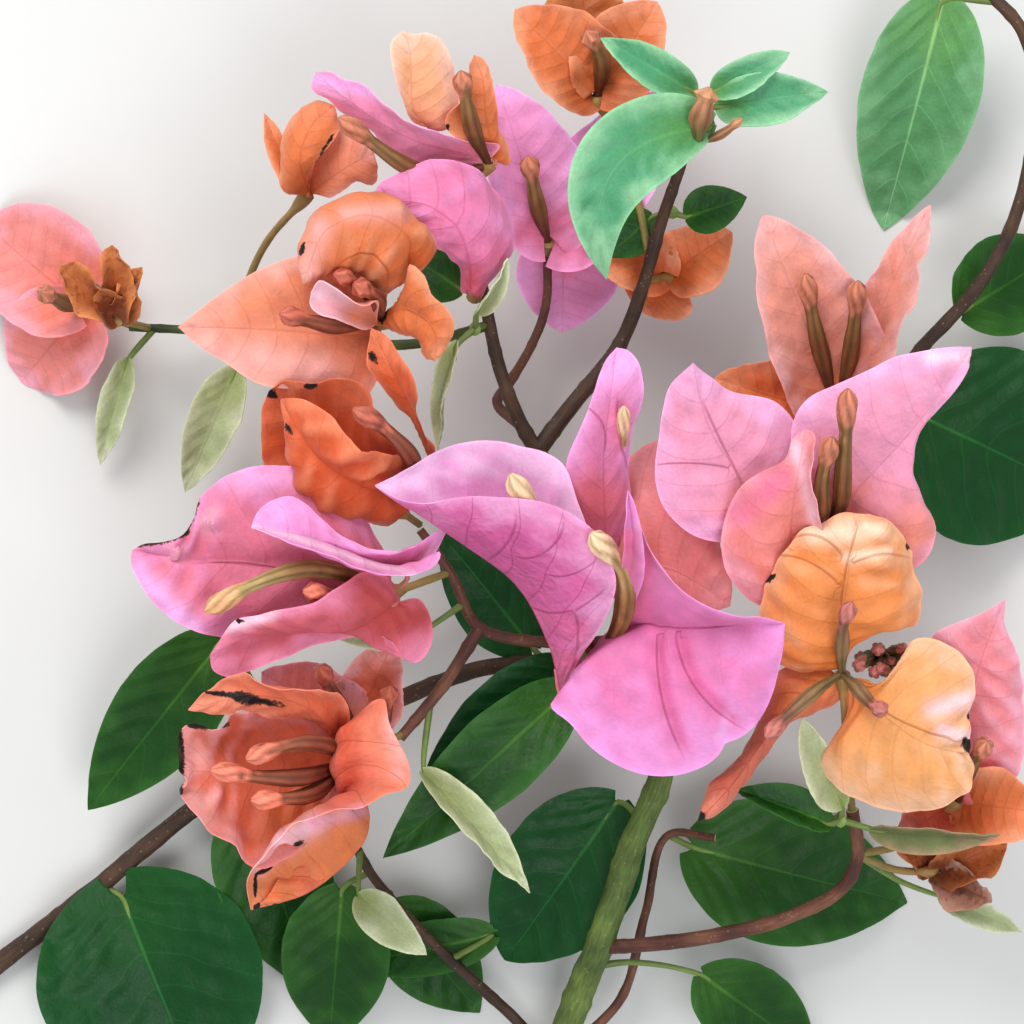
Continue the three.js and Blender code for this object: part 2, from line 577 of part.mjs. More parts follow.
// A closed three.js geometry as a solid.
function closed(geometry) {
  geometry.deleteAttribute("normal");
  geometry.deleteAttribute("uv");
  const merged = mergeVertices(geometry, SAME_POINT);
  return new wasm.Manifold(new wasm.Mesh({
    numProp: 3,
    vertProperties: merged.attributes.position.array,
    triVerts: merged.index.array,
  }));
}

function joined(solids) {
  return solids.reduce((whole, solid) => whole.add(solid));
}

function boxesMeet(one, other) {
  const [a, b] = [one.boundingBox(), other.boundingBox()];
  return [0, 1, 2].every((axis) => a.min[axis] < b.max[axis] && b.min[axis] < a.max[axis]);
}

function largestBody(solid) {
  return solid.decompose().reduce((largest, body) => (body.volume() > largest.volume() ? body : largest));
}

// The foot of a bract: its own place, or close to the middle of its bloom. Each bract of a bloom
// starts a little lower than the one before it in the list.
function footOf(bract, centre, order) {
  const reach = FOOT_REACH / seen(centre).distanceTo(seen(bract.tip));
  const [x, y, z] = bract.foot ?? between(centre, bract.tip, reach);
  return [x, y, z + (1 - order) * LAYER];
}

function bloomSolid({ centre, stalk, bracts, flowers }, extra) {
  const blades = bracts.map((bract, order) => ({ ...BRACT, ...bract, foot: footOf(bract, centre, order) }));
  const clawed = blades.filter((blade, order) => bracts[order].foot);
  return joined([
    hubSolid(centre, extra),
    stalkSolid([...stalk, centre].map(seen), STALK_RADIUS, extra),
    ...clawed.map((blade) => (
      stalkSolid([seen(centre), seen(blade.foot), stalkEnd(blade)], STALK_RADIUS, extra))),
    ...blades.map((blade) => bladeSolid(blade, extra)),
    ...flowers.map((places) => flowerSolid([centre, ...places].map(seen), extra)),
  ]);
}

function leafSolid(entry, extra) {
  const leaf = { ...LEAF, ...entry };
  const points = [...[...leaf.stalk, leaf.foot].map(seen), stalkEnd(leaf)];
  return stalkSolid(points, LEAF_STALK_RADIUS, extra).add(bladeSolid(leaf, extra));
}

function shootSolid({ bud, stalk, leaves }, extra) {
  return joined([
    stalkSolid([...stalk, bud].map(seen), LEAF_STALK_RADIUS, extra),
    ...leaves.map((leaf) => leafSolid({ ...leaf, stalk: [bud] }, extra)),
  ]);
}

// Every piece, in the order in which they give way: each is cut clear of those before it.
const PIECES = [
  ...Object.entries(STEMS).map(([name, { path, radius, tone }]) => (
    { name, tone, at: path[0], build: (extra) => stemSolid(path.map(seen), radius, extra) })),
  ...Object.entries(BLOOMS).map(([name, bloom]) => (
    { name, tone: bloom.tone, at: bloom.centre, build: (extra) => bloomSolid(bloom, extra) })),
  ...Object.entries(SHOOTS).map(([name, shoot]) => (
    { name, tone: shoot.leaves[0].tone, at: shoot.bud, build: (extra) => shootSolid(shoot, extra) })),
  ...Object.entries(LEAVES).map(([name, leaf]) => (
    { name, tone: leaf.tone, at: leaf.foot, build: (extra) => leafSolid(leaf, extra) })),
];

// A named mesh of a solid, whose own origin is the place that it grows from.
function pieceMesh({ name, tone, at }, solid) {
  const { vertProperties, triVerts } = solid.getMesh();
  const origin = seen(at);
  const geometry = new THREE.BufferGeometry();
  geometry.setAttribute("position", new THREE.BufferAttribute(vertProperties, 3));
  geometry.setIndex(new THREE.BufferAttribute(triVerts, 1));
  geometry.translate(-origin.x, -origin.y, -origin.z);
  const material = new THREE.MeshStandardMaterial({ color: TONES[tone], roughness: 0.6, metalness: 0 });
  const mesh = new THREE.Mesh(geometry, material);
  mesh.name = name;
  mesh.position.copy(origin);
  return mesh;
}

const branch = new THREE.Group();
branch.position.set(-MIDDLE[0], -MIDDLE[1], 0);
const kept = [];
for (const piece of PIECES) {
  const whole = piece.build(0);
  const solid = largestBody(kept.filter((other) => boxesMeet(whole, other))
    .reduce((rest, other) => rest.subtract(other), whole)).simplify(FACET_SLACK);
  branch.add(pieceMesh(piece, solid));
  kept.push(piece.build(CLEARANCE));
}

export default branch;
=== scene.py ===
# The looks of a cut, flowering branch of bougainvillea: papery bracts in threes with their tube
# flowers, the leaves and the stems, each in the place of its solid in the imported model.
# Sizes are millimetres until a piece is made. Places in the tables are as they look from an eye
# straight above the middle of the branch, x to the right, y up the picture and z towards the eye.

import math

import bpy
import numpy as np
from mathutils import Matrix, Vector


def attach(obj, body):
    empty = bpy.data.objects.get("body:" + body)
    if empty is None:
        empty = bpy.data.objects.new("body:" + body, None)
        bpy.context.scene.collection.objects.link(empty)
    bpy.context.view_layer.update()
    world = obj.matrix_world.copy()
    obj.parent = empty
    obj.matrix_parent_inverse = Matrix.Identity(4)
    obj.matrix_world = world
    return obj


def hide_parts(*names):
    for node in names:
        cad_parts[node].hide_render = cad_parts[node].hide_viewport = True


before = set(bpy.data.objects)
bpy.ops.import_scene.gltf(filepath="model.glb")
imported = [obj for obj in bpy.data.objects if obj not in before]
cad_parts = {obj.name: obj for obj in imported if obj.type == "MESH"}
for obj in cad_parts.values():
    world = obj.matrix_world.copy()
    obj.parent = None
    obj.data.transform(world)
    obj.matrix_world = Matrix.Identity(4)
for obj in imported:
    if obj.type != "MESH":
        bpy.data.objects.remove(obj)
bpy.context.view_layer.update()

METRES = 0.001
TURN = 2 * math.pi
# How high the eye of the tables is, and the height at which places look to be where they are.
EYE_HEIGHT = 760
TRUE_HEIGHT = 60
MIDDLE = np.array([0.4, -8.7, 0.0])
# The picture is square, and as wide as this at TRUE_HEIGHT.
PICTURE_WIDTH = 204.8
SENSOR_WIDTH = 36
NEAREST_SEEN = 50

# An uneven field is a sum of waves: how many to an octave, how fast their heights fall from one
# octave to the next, and what the sum is divided by.
OCTAVE_WAVES = 7
OCTAVE_FALL = 2.2
FIELD_SPREAD = 1.7
# The least lengths that are divided by, and a direction that no limb starts along.
LEAST_LENGTH = 1e-9
LEAST_GAP = 1e-4
ANY_WAY = [0.31, 0.17, 0.93]

# How finely the pieces are modelled: millimetres to a step, and the fewest and most steps.
BLADE_STEP = 0.85
BLADE_ROWS = (18, 120)
HALF_BLADE_COLUMNS = (6, 32)
LIMB_STEP = 1.1
FEWEST_LIMB_ROWS = 4
STEM_SIDES = 18
STALK_SIDES = 10
FLOWER_SIDES = 30
CURVE_STEPS = 24
MEASURING_STEPS = 20
MARGIN_STEPS = 60
SHARP_ANGLE = math.radians(62)

# Stems, stalks and hubs. A claw is the narrow foot that joins a bract to its hub.
STALK_RADIUS = 0.8
HUB_RADIUS = 1.7
HUB_BEGINS = (0.8, 1)
CLAW_RADIUS = 0.7
CLAW_SINK = np.array([0, 0, 1.2])
CLAW_TAPER = 0.5
FOOT_REACH = 1.6
LAYER = 1.6
LEAF_STALK_RADIUS = 0.6
LEAF_STALK_SWELL = 1.25
LEAF_STALK_TAPER = 0.4
LEAF_STALK_NARROWING = 0.55
LEAF_STALK_NARROWS = (0.8, 1)
SHOOT_SWELL = 0.9
SHOOT_SWELLS = (0.6, 1)
STALK_START = 0.02
STALK_SINK = 0.1
STALK_ROUGHNESS = 0.05
BARK_ROUGHNESS = 0.045
# Patches, specks and strays are given by their strength and their size.
STALK_PATCHES = (0.15, 4)
BARK_PATCHES = (0.6, 13)
# The swellings of a stem between its bends, and their width as a share of the way between them.
JOINT_SWELL = 0.1
JOINT_WIDTH = 0.06
# The ends of a limb: how narrow they get and how far they reach out, as shares of its radius.
ROUND_END = (0.55, 0.4)
CUT_END = (0.94, 0.04)
# The size of the ridges and of the lumps of a rough skin, and how little ridges change along it.
RIDGES = 1.5
RIDGE_STRETCH = [1, 1, 0.13]
LUMPS = 7

# The radius of a tube flower along its length, as a share of its full radius.
FLOWER_PROFILE = [
    [0, 0.5], [0.15, 0.56], [0.3, 0.8], [0.45, 1.02], [0.58, 0.97], [0.7, 0.76], [0.79, 0.7],
    [0.845, 1.02], [0.9, 1.18], [0.95, 1.12], [0.98, 0.84], [1, 0.36],
]
FLOWER_RADIUS = 1.8
FLOWER_RIBS = 5
# Where its ribs, its folded lobes and its colours begin and end, as shares of its length.
RIBS_BEGIN = (0.08, 0.25)
RIBS_END = (0.76, 0.82)
LOBES_BEGIN = (0.8, 0.88)
TWIST_BEGINS = (0.8, 1)
BODY_BEGINS = (0.15, 0.5)
NECK_BEGINS = (0.5, 0.76)
BUD_BEGINS = (0.78, 0.84)
# How far its ribs turn round it, in radians: its bud's twist, and a slow sway along it.
BUD_TWIST = 1.1
RIB_SWAY = 0.15
RIB_SWAY_RATE = 5
RIB_SWELL = 0.05
RIB_GROOVE = 0.17
LOBE_GROOVE = 0.24
# Painted shade: how much darker the tube's colour is in the grooves between its ribs and its lobes.
GROOVE_PAINTED_SHADE = 0.42
FLOWER_PATCHES = (0.06, 3)
# The closed buds at a shoot's tip, and the knot of withered buds: their radii, number and spread.
TIP_RADII = (2.4, 1.0)
HOLE_BUD_RADIUS = 1.3
HOLE_BUDS = 12
HOLE_BUD_SPREAD = [6, 5.2, 1.8]
HOLE_BUD_START = 0.2
HOLE_BUD_DEPTH = [0, 0, 7]
HOLE_BUD_HEIGHT = [0, 0, 2.2]
HOLE_BUD_BEND = [0.3, 0, 0]

# The surface of a blade, which is a bract or a leaf. Shares run from 0 at its foot or its midrib to 1
# at its tip or its margin. What begins does so smoothly between two shares.
REST_HEIGHT = 0.3
NUDGE = 0.01
BLADE_ENDS = (0.004, 0.997)
STILL_ENDS = (0.0, 0.12)
RIM_THINNING = 0.45
RIM_BEGINS = (0.85, 1)
VEIN_BEND = 1.3
VEIN_SPREAD = 1.15
VEIN_STRAY = (0.12, 16)
PANELS_BEGIN = (0.05, 0.3)
PANEL_FLATTENING = 0.6
CRUMPLE_SIZE = 11
MIDDLE_CRUMPLE = 0.35
WAVE_LENGTH = 10.5
WAVE_SHIFT = 0.37
SIDE_SHIFT = 1.3
RIPPLE = 0.3
RIPPLE_RATE = 2.35
PLEATS_BEGIN = (0.02, 0.25)
PLEAT_LEAN = 2.2
PLEAT_STRAY = (1.7, 13)
PLEAT_PATCHES = (0.5, 8)
PLEAT_MEAN = 0.75
# The pleats' height is clipped to these for their colour: painted shade in their troughs, painted highlight
# on their crests.
PLEAT_SHADE_AND_HIGHLIGHT_RANGE = (-0.4, 1)

# The colours of a blade: how they run into each other, and how uneven they are.
PATCH_SIZE = 9
MARGIN_COLOUR = (0.45, 1.05)
TIP_COLOUR_FROM = 0.35
MARGIN_PATCHES = 0.16
FOOT_COLOUR = (0.04, 0.48)
FOOT_SLANT = 0.16
FOOT_PATCHES = 0.08
# Painted shade: how far the foot's deeper colour is laid into the folds that are drawn on a blade.
FOLD_PAINTED_SHADE = 0.6
# Painted highlight: how far the crests of the pleats turn towards the paler margin colour.
PLEAT_CREST_PAINTED_LIGHT = 0.8
FOOT_ABOVE = 0.85
FOOT_BELOW = 0.6
MARGIN_BELOW = 0.45
SPECKLE = (0.07, 5)
BRIGHT_RIM = 0.22
BRIGHT_RIM_BEGINS = (0.95, 1)
SPRAY_MOST = 0.85
SPRAY_PATCHES = 0.15
# How wide a harmed line is at its ends, and how much it widens towards its middle.
HARM_ENDS = 0.5
HARM_MIDDLE = 2
# How far from a line that is drawn on a blade its finish still looks for it, and how far the line
# runs on past its ends, as a share of its length.
LINE_REACH = 1.4
LINE_FADE = 0.18

# How strongly veins show on the upper and on the lower side of a bract.
VEINS_SHOWN = (0.35, 0.85)
# What a bract and a leaf are where the tables say nothing else. pairs is the number of their side
# veins, and slant how far these run forward.
BLADE = dict(roll=0, sway=0, paint=[], folds=[], lines=[], harm=[])
BRACT = dict(BLADE, fold=14, curl=14, bow=0.06, heart=0.16, shoulder=0.42, point=0.75,
             shown=VEINS_SHOWN, thickness=0.24, pairs=7, slant=0.34)
LEAF = dict(BLADE, fold=10, curl=6, bow=0.05, heart=0.05, shoulder=0.55, point=0.95,
            shown=(0.8, 0.9), thickness=0.36, pairs=6, slant=0.42)

# How a blade is worked: how far its panels bulge between the veins, how crumpled it is and how far
# its margins wave, in millimetres.
CREASES = dict(
    bract_pink=(0.24, 0.32, 0.55), bract_salmon=(0.28, 0.38, 0.55), bract_orange=(0.28, 0.55, 0.55),
    bract_yellow_orange=(0.45, 0.45, 0.50), bract_red_orange=(0.50, 0.60, 0.65),
)
DRIED_CREASES = (0.5, 1.1, 1.2)
LEAF_CREASES = (0.25, 0.5, 0.14)
# A drawn bract has its waves in its margins already.
DRAWN_CREASES = (0.8, 0.7, 0.25)

# Where the random shapes of the leaves and the shoots' leaves start, and those within one blade.
LEAF_SEEDS = 400
SHOOT_SEEDS = 500
VEIN_SEED = 20
PLEAT_SEED = 5
PLEAT_PATCH_SEED = 6
PATCH_SEED = 50
SPECKLE_SEED = 80
# How far apart blades lie in the finish's noise, for no two to be alike.
NOISE_APART = 37

# The record's finish for each kind of bract, leaf and bark.
BRACT_KINDS = dict(
    bract_pink="pink deep_pink light_pink rose lilac_pink soft_lilac shell_pink lilac_rose coral_pink "
               "blush clear_pink rosy_pink bright_rose",
    bract_salmon="salmon salmon_pink peach pale_peach peach_coral papery",
    bract_orange="orange two_orange deep_orange dried",
    bract_yellow_orange="yellow_orange amber",
    bract_red_orange="red_orange coral_orange rust flame",
)
BRACT_SLOTS = {tone: slot for slot, tones in BRACT_KINDS.items() for tone in tones.split()}
DRIED_TONES = ("dried", "papery")
LEAF_SLOTS = dict(leaf="leaf_green", sunny_leaf="leaf_green", dark_leaf="leaf_dark",
                  young_leaf="leaf_young", pale_leaf="leaf_pale", olive_leaf="leaf_pale")
BARK_SLOTS = dict(olive="bark_olive", brown="bark_brown", maroon="bark_maroon", green_stem="bark_green")
STALK_SLOT = "bark_green"
FLOWER_SLOT = "bark_maroon"

# The finishes. Noises are given by their scale, detail and roughness, and edges by the two values
# between which they turn smoothly.
BUMP_DISTANCE = 0.0003
NOISE_MIDDLE = (0.3, 0.7)
SOCKETS = dict(bump="Normal", gloss="Specular IOR Level", sheen="Sheen Weight", soft="Sheen Roughness")
GRIT = (1.6, 3.0, 0.6)
GRIT_HEIGHT = 0.3
WRINKLES = (0.42, 1.0, 0.5)
BLADE_BUMP = 0.65
SHEEN_ROUGHNESS = 0.5
BLADE_UNEVENNESS = 0.07
# Veins get narrower outwards and the midrib towards the tip. Widths are shares of a vein's width.
LATERAL_TAPER = 1.2
LATERAL_EDGE = (0.1, 1.0)
MIDRIB_WIDTH = 1.6
MIDRIB_TAPER = 1.1
MIDRIB_EDGE = (0.2, 1.0)
LINE_EDGE = (0.03, 0.36)
# How dark the drawn lines are: vein colour along the arcs that veins follow, and painted shade at the
# bottom of the folds.
LINE_VEIN_AND_PAINTED_SHADE = 0.5
LINE_HEIGHT = -1.4
RAGGEDNESS = 0.7
SCORCH_BEGINS = (0.72, 0.88)
SCORCHED = (0.42, 0.20, 0.14)
BURN_BEGINS = (0.9, 1.04)
BURNT = (0.07, 0.05, 0.06)
BRACT_LOOK = dict(vein_strength=0.6, vein_width=0.34, through=0.28, roughness=0.48, gloss=0.3,
                  grain=0.04, laterals=0.7, creased=3.5, sheen=0.12)
LEAF_LOOK = dict(vein_width=0.42, relief=-0.5, through=0.22, gloss=0.24, grain=0.06, laterals=0.32,
                 creased=1.2, sheen=0.0)
# What a bract's colour is multiplied by at its veins, and how far these stand out.
BRACT_VEINS = dict(
    bract_pink=((0.80, 0.44, 0.60), -0.9), bract_salmon=((0.84, 0.50, 0.42), -0.9),
    bract_orange=((0.82, 0.48, 0.30), -1.1), bract_yellow_orange=((0.82, 0.56, 0.32), -1.0),
    bract_red_orange=((0.80, 0.42, 0.34), -1.1),
)
# What a leaf's colour is multiplied by at its veins, how strongly, and how rough the leaf is.
LEAF_VEINS = dict(
    leaf_green=((3.4, 2.3, 2.6), 0.7, 0.46), leaf_dark=((5.0, 2.8, 3.0), 0.7, 0.44),
    leaf_young=((1.5, 1.3, 1.3), 0.5, 0.38), leaf_pale=((0.85, 0.88, 0.80), 0.6, 0.55),
)
STREAK_STRETCH = (1.0, 1.0, 0.12)
STREAKS = (2.2, 4.0, 0.6)
LIMB_PATCHES = 0.22
PATCH_SHADES = (0.85, 1.12)
LIMB_BUMP = 0.6
LIMB_UNEVENNESS = 0.08
LIMB_GLOSS = 0.3
SPECK_SCALE = 0.7
SPECK_EDGE = (0.12, 0.2)
SPECK_HEIGHT = 0.5
SPECK_COLOUR = (0.70, 0.60, 0.42)
BARK_LOOK = dict(streak=0.25, relief=1.0, roughness=0.6, specks=0.22)
STALK_LOOK = dict(streak=0.12, relief=0.4, roughness=0.5, specks=0.15)
TUBE_LOOK = dict(streak=0.14, relief=0.5, roughness=0.5, specks=0.0)
WOOD_COLOURS = ((0.80, 0.76, 0.55), (0.72, 0.68, 0.44))
WOOD_ROUGHNESS = 0.6
RING_STRAY = 0.8
RING_RATE = 9.0

# The floor and the lights, in metres and watts.
FLOOR_SIZE = 6
FLOOR_COLOURS = ((0.80, 0.80, 0.79), (0.83, 0.83, 0.82))
FLOOR_PATCHES = 6.0
FLOOR_ROUGHNESS = 0.75
SKY_COLOUR = (0.93, 0.96, 1.0, 1)
SKY_STRENGTH = 0.72
LIGHTS = [
    ("sky_light", (-0.30, 0.62, 0.80), 0.6, 7.8, (1.0, 0.985, 0.96)),
    ("front_light", (0.25, -0.42, 1.0), 0.6, 4.8, (0.96, 0.98, 1.0)),
]

# Colours as they look on a screen. Each kind of bract and of leaf has one at its foot, over its body and
# at its margins, and one for its underside.
BRACT_COLOURS = dict(
    pink=[(0.88, 0.44, 0.54), (0.91, 0.54, 0.74), (0.95, 0.66, 0.88), (0.84, 0.42, 0.62)],
    deep_pink=[(0.90, 0.48, 0.58), (0.95, 0.64, 0.86), (0.99, 0.82, 0.96), (0.82, 0.38, 0.62)],
    light_pink=[(0.94, 0.54, 0.46), (0.95, 0.64, 0.76), (0.96, 0.72, 0.88), (0.93, 0.58, 0.72)],
    lilac_pink=[(0.88, 0.42, 0.52), (0.95, 0.62, 0.84), (0.98, 0.70, 0.93), (0.92, 0.54, 0.76)],
    shell_pink=[(0.92, 0.42, 0.38), (0.95, 0.58, 0.62), (0.97, 0.70, 0.78), (0.93, 0.54, 0.58)],
    salmon_pink=[(0.92, 0.46, 0.33), (0.94, 0.57, 0.54), (0.96, 0.68, 0.74), (0.94, 0.58, 0.56)],
    coral_pink=[(0.78, 0.28, 0.24), (0.85, 0.40, 0.46), (0.93, 0.56, 0.70), (0.80, 0.36, 0.42)],
    rose=[(0.86, 0.38, 0.44), (0.92, 0.51, 0.65), (0.95, 0.62, 0.78), (0.90, 0.48, 0.60)],
    blush=[(0.92, 0.50, 0.34), (0.97, 0.76, 0.80), (0.99, 0.86, 0.92), (0.94, 0.60, 0.44)],
    salmon=[(0.88, 0.44, 0.36), (0.92, 0.54, 0.54), (0.94, 0.62, 0.64), (0.90, 0.52, 0.50)],
    peach=[(0.90, 0.48, 0.26), (0.93, 0.63, 0.56), (0.95, 0.73, 0.72), (0.92, 0.60, 0.52)],
    orange=[(0.84, 0.38, 0.14), (0.91, 0.51, 0.30), (0.95, 0.64, 0.48), (0.92, 0.52, 0.32)],
    two_orange=[(0.88, 0.44, 0.28), (0.92, 0.56, 0.42), (0.94, 0.68, 0.62), (0.90, 0.52, 0.40)],
    deep_orange=[(0.76, 0.26, 0.10), (0.87, 0.38, 0.20), (0.94, 0.54, 0.38), (0.88, 0.42, 0.24)],
    yellow_orange=[(0.92, 0.48, 0.18), (0.94, 0.58, 0.31), (0.96, 0.72, 0.54), (0.93, 0.60, 0.38)],
    amber=[(0.93, 0.58, 0.26), (0.95, 0.68, 0.42), (0.96, 0.77, 0.62), (0.93, 0.64, 0.44)],
    red_orange=[(0.76, 0.27, 0.16), (0.87, 0.41, 0.30), (0.93, 0.60, 0.56), (0.87, 0.48, 0.32)],
    coral_orange=[(0.82, 0.34, 0.18), (0.88, 0.44, 0.32), (0.96, 0.68, 0.68), (0.92, 0.54, 0.44)],
    rust=[(0.88, 0.44, 0.26), (0.92, 0.54, 0.34), (0.94, 0.62, 0.44), (0.92, 0.46, 0.40)],
    pale_peach=[(0.92, 0.58, 0.46), (0.96, 0.72, 0.54), (0.98, 0.82, 0.74), (0.92, 0.60, 0.48)],
    lilac_rose=[(0.86, 0.36, 0.44), (0.92, 0.52, 0.70), (0.94, 0.60, 0.80), (0.86, 0.42, 0.56)],
    bright_rose=[(0.93, 0.50, 0.60), (0.97, 0.61, 0.76), (0.98, 0.70, 0.86), (0.96, 0.60, 0.74)],
    soft_lilac=[(0.90, 0.44, 0.58), (0.97, 0.66, 0.86), (0.99, 0.74, 0.95), (0.94, 0.58, 0.80)],
    clear_pink=[(0.86, 0.38, 0.58), (0.90, 0.51, 0.73), (0.94, 0.62, 0.87), (0.86, 0.44, 0.68)],
    rosy_pink=[(0.84, 0.38, 0.42), (0.89, 0.48, 0.59), (0.93, 0.58, 0.76), (0.84, 0.40, 0.50)],
    flame=[(0.84, 0.32, 0.20), (0.92, 0.49, 0.35), (0.95, 0.62, 0.50), (0.91, 0.47, 0.36)],
    peach_coral=[(0.94, 0.60, 0.42), (0.90, 0.48, 0.37), (0.94, 0.62, 0.53), (0.88, 0.46, 0.36)],
    dried=[(0.44, 0.18, 0.08), (0.74, 0.40, 0.20), (0.84, 0.52, 0.30), (0.66, 0.36, 0.20)],
    papery=[(0.50, 0.30, 0.24), (0.68, 0.46, 0.38), (0.76, 0.56, 0.48), (0.64, 0.44, 0.36)],
)
LEAF_COLOURS = dict(
    leaf=[(0.20, 0.40, 0.11), (0.09, 0.28, 0.07), (0.17, 0.37, 0.12), (0.26, 0.43, 0.23)],
    sunny_leaf=[(0.40, 0.62, 0.34), (0.35, 0.59, 0.38), (0.46, 0.68, 0.48), (0.42, 0.60, 0.42)],
    dark_leaf=[(0.09, 0.32, 0.11), (0.04, 0.27, 0.10), (0.07, 0.31, 0.12), (0.21, 0.40, 0.21)],
    young_leaf=[(0.36, 0.60, 0.32), (0.33, 0.63, 0.45), (0.58, 0.80, 0.62), (0.46, 0.68, 0.50)],
    olive_leaf=[(0.42, 0.44, 0.26), (0.45, 0.48, 0.30), (0.62, 0.52, 0.40), (0.50, 0.50, 0.36)],
    pale_leaf=[(0.60, 0.64, 0.40), (0.70, 0.74, 0.56), (0.82, 0.84, 0.70), (0.74, 0.78, 0.62)],
)
# The dark and the light patches of each bark.
BARK_COLOURS = dict(
    olive=[(0.25, 0.32, 0.14), (0.38, 0.45, 0.21)],
    brown=[(0.18, 0.12, 0.09), (0.30, 0.21, 0.15)],
    maroon=[(0.30, 0.16, 0.13), (0.44, 0.28, 0.21)],
    green_stem=[(0.13, 0.19, 0.08), (0.29, 0.34, 0.16)],
)
STALK_COLOURS = ((0.46, 0.42, 0.22), (0.62, 0.48, 0.28))
LEAF_STALK_COLOURS = ((0.36, 0.42, 0.20), (0.44, 0.54, 0.26))
# Tube flowers: the tube at its foot, along its length and at its neck, and the closed bud.
BUD_COLOURS = dict(
    cream=[(0.44, 0.22, 0.13), (0.56, 0.38, 0.22), (0.72, 0.58, 0.38), (0.95, 0.80, 0.64)],
    honey=[(0.44, 0.22, 0.13), (0.55, 0.40, 0.24), (0.70, 0.60, 0.38), (0.90, 0.68, 0.48)],
    brown=[(0.38, 0.19, 0.10), (0.49, 0.30, 0.16), (0.52, 0.38, 0.22), (0.79, 0.48, 0.37)],
    red=[(0.42, 0.18, 0.12), (0.50, 0.24, 0.16), (0.54, 0.28, 0.20), (0.78, 0.40, 0.32)],
    coral=[(0.40, 0.18, 0.12), (0.50, 0.25, 0.18), (0.58, 0.33, 0.23), (0.94, 0.52, 0.42)],
    moss=[(0.30, 0.36, 0.20), (0.36, 0.40, 0.24), (0.44, 0.38, 0.28), (0.64, 0.44, 0.36)],
    shoot=[(0.44, 0.42, 0.24), (0.62, 0.44, 0.30), (0.70, 0.48, 0.34), (0.80, 0.58, 0.42)],
    dry=[(0.50, 0.42, 0.26), (0.56, 0.44, 0.30), (0.50, 0.34, 0.26), (0.78, 0.46, 0.42)],
)
HOLE_BUD_TONES = ("dry", "moss")
# The colours that are sprayed along lines on a bract, such as its rims and puckers.
# Most are a bract's own colours; some stand for painted highlight on rolled edges and puckers, or painted
# shade beside folds.
SPRAYS = dict(
    pale=(1.0, 0.88, 0.94), lilac=(0.97, 0.74, 0.95), blush=(0.97, 0.72, 0.70), cream=(1.0, 0.92, 0.82),
    soft=(0.96, 0.70, 0.80), bright=(0.99, 0.62, 0.86), melon=(0.92, 0.53, 0.33),
    amber=(0.94, 0.54, 0.25), deep=(0.87, 0.40, 0.62), salmon=(0.92, 0.46, 0.50),
    rosy=(0.94, 0.50, 0.66), coral=(0.84, 0.34, 0.32), orange=(0.91, 0.50, 0.27),
    flame=(0.88, 0.36, 0.22),
)

# Stems: the middle line of each, and its radius at the two ends.
STEMS = dict(
  main_stem=dict(path=[[7, -118, 3.4], [12, -100, 12], [17.5, -86.5, 22], [24.5, -65.5, 31], [30, -52, 36],
      [31, -38, 40], [26, -22, 42], [15, -6, 42], [5, 12, 40]], radius=[3.4, 1.9], tone="olive"),
  upper_stem=dict(path=[[5, 12, 40], [12.5, 22, 39], [21.5, 33.5, 38], [26.5, 46, 40], [29.5, 57, 43],
      [33, 67, 48], [37, 79, 54]], radius=[1.8, 1.0], tone="brown"),
  upper_left_arm=dict(path=[[5, 12, 40], [1.6, 18, 40], [-2.4, 28.4, 41], [-4.4, 37.4, 41],
      [-6.4, 46.4, 41], [-11.4, 58.4, 43], [-17.4, 68.4, 44]], radius=[1.6, 0.9], tone="brown"),
  cyme_stem=dict(path=[[2, 17, 40], [-3, 22, 31], [-0.4, 26, 26], [3.2, 32, 24], [6.6, 40.4, 22],
      [7.2, 52.4, 24]], radius=[1.1, 0.9], tone="maroon"),
  left_fork=dict(path=[[27, -25, 42], [18, -26, 41], [6.6, -26, 42], [-6.4, -23.2, 45], [-12.4, -12, 50],
      [-18.4, -3.6, 52]], radius=[1.4, 0.9], tone="maroon"),
  left_fork_lower=dict(path=[[-6.4, -23.2, 45], [-14.4, -35.6, 46], [-22.4, -45.2, 46]], radius=[1.4, 1.1],
    tone="maroon"),
  rear_left_stem=dict(path=[[27.5, -27, 41], [9.6, -29.6, 33], [-6.4, -31.4, 26], [-23, -37.6, 20],
      [-44.4, -47.6, 14], [-64.4, -60, 9], [-82.4, -74.6, 5.4], [-100.4, -88.6, 3.2], [-112, -97, 2.1]],
    radius=[1.6, 2.1], tone="brown"),
  right_branch=dict(path=[[17.5, -87, 22], [25.6, -86.6, 26], [37.6, -85.2, 31], [53.6, -81.6, 36],
      [65.6, -75.6, 41], [69.2, -68.6, 45], [68, -59.6, 49]], radius=[1.6, 1.3], tone="maroon"),
  thin_red_stem=dict(path=[[9.5, -109, 7.6], [21.6, -97.6, 11], [26.6, -80.6, 16], [31.2, -64.6, 22],
      [40.6, -65.2, 24]], radius=[1.1, 0.8], tone="maroon"),
  lower_left_stem=dict(path=[[9, -111, 6.4], [1.6, -102.4, 9], [-16.4, -85.6, 18], [-28.4, -72, 26],
      [-32.4, -62.6, 31], [-32.4, -52, 34]], radius=[1.3, 0.9], tone="brown"),
  rear_right_stem=dict(path=[[27, -24, 42], [41.6, -9.6, 31], [57.6, 6.4, 25], [71.6, 20.4, 22],
      [82.6, 33.4, 22], [92.6, 44.4, 24], [99.6, 56.4, 26], [103.6, 70.4, 27], [104.8, 84.4, 27],
      [102, 96.4, 25], [94.6, 104.4, 22]], radius=[1.6, 1.3], tone="brown"),
  left_arm_twig=dict(path=[[-4.4, 37.4, 41], [-13.4, 34.8, 37], [-22.4, 33.4, 32], [-42.4, 35.4, 23],
      [-64.4, 36.4, 15], [-76.4, 37, 12]], radius=[1.1, 0.9], tone="green_stem"),
)

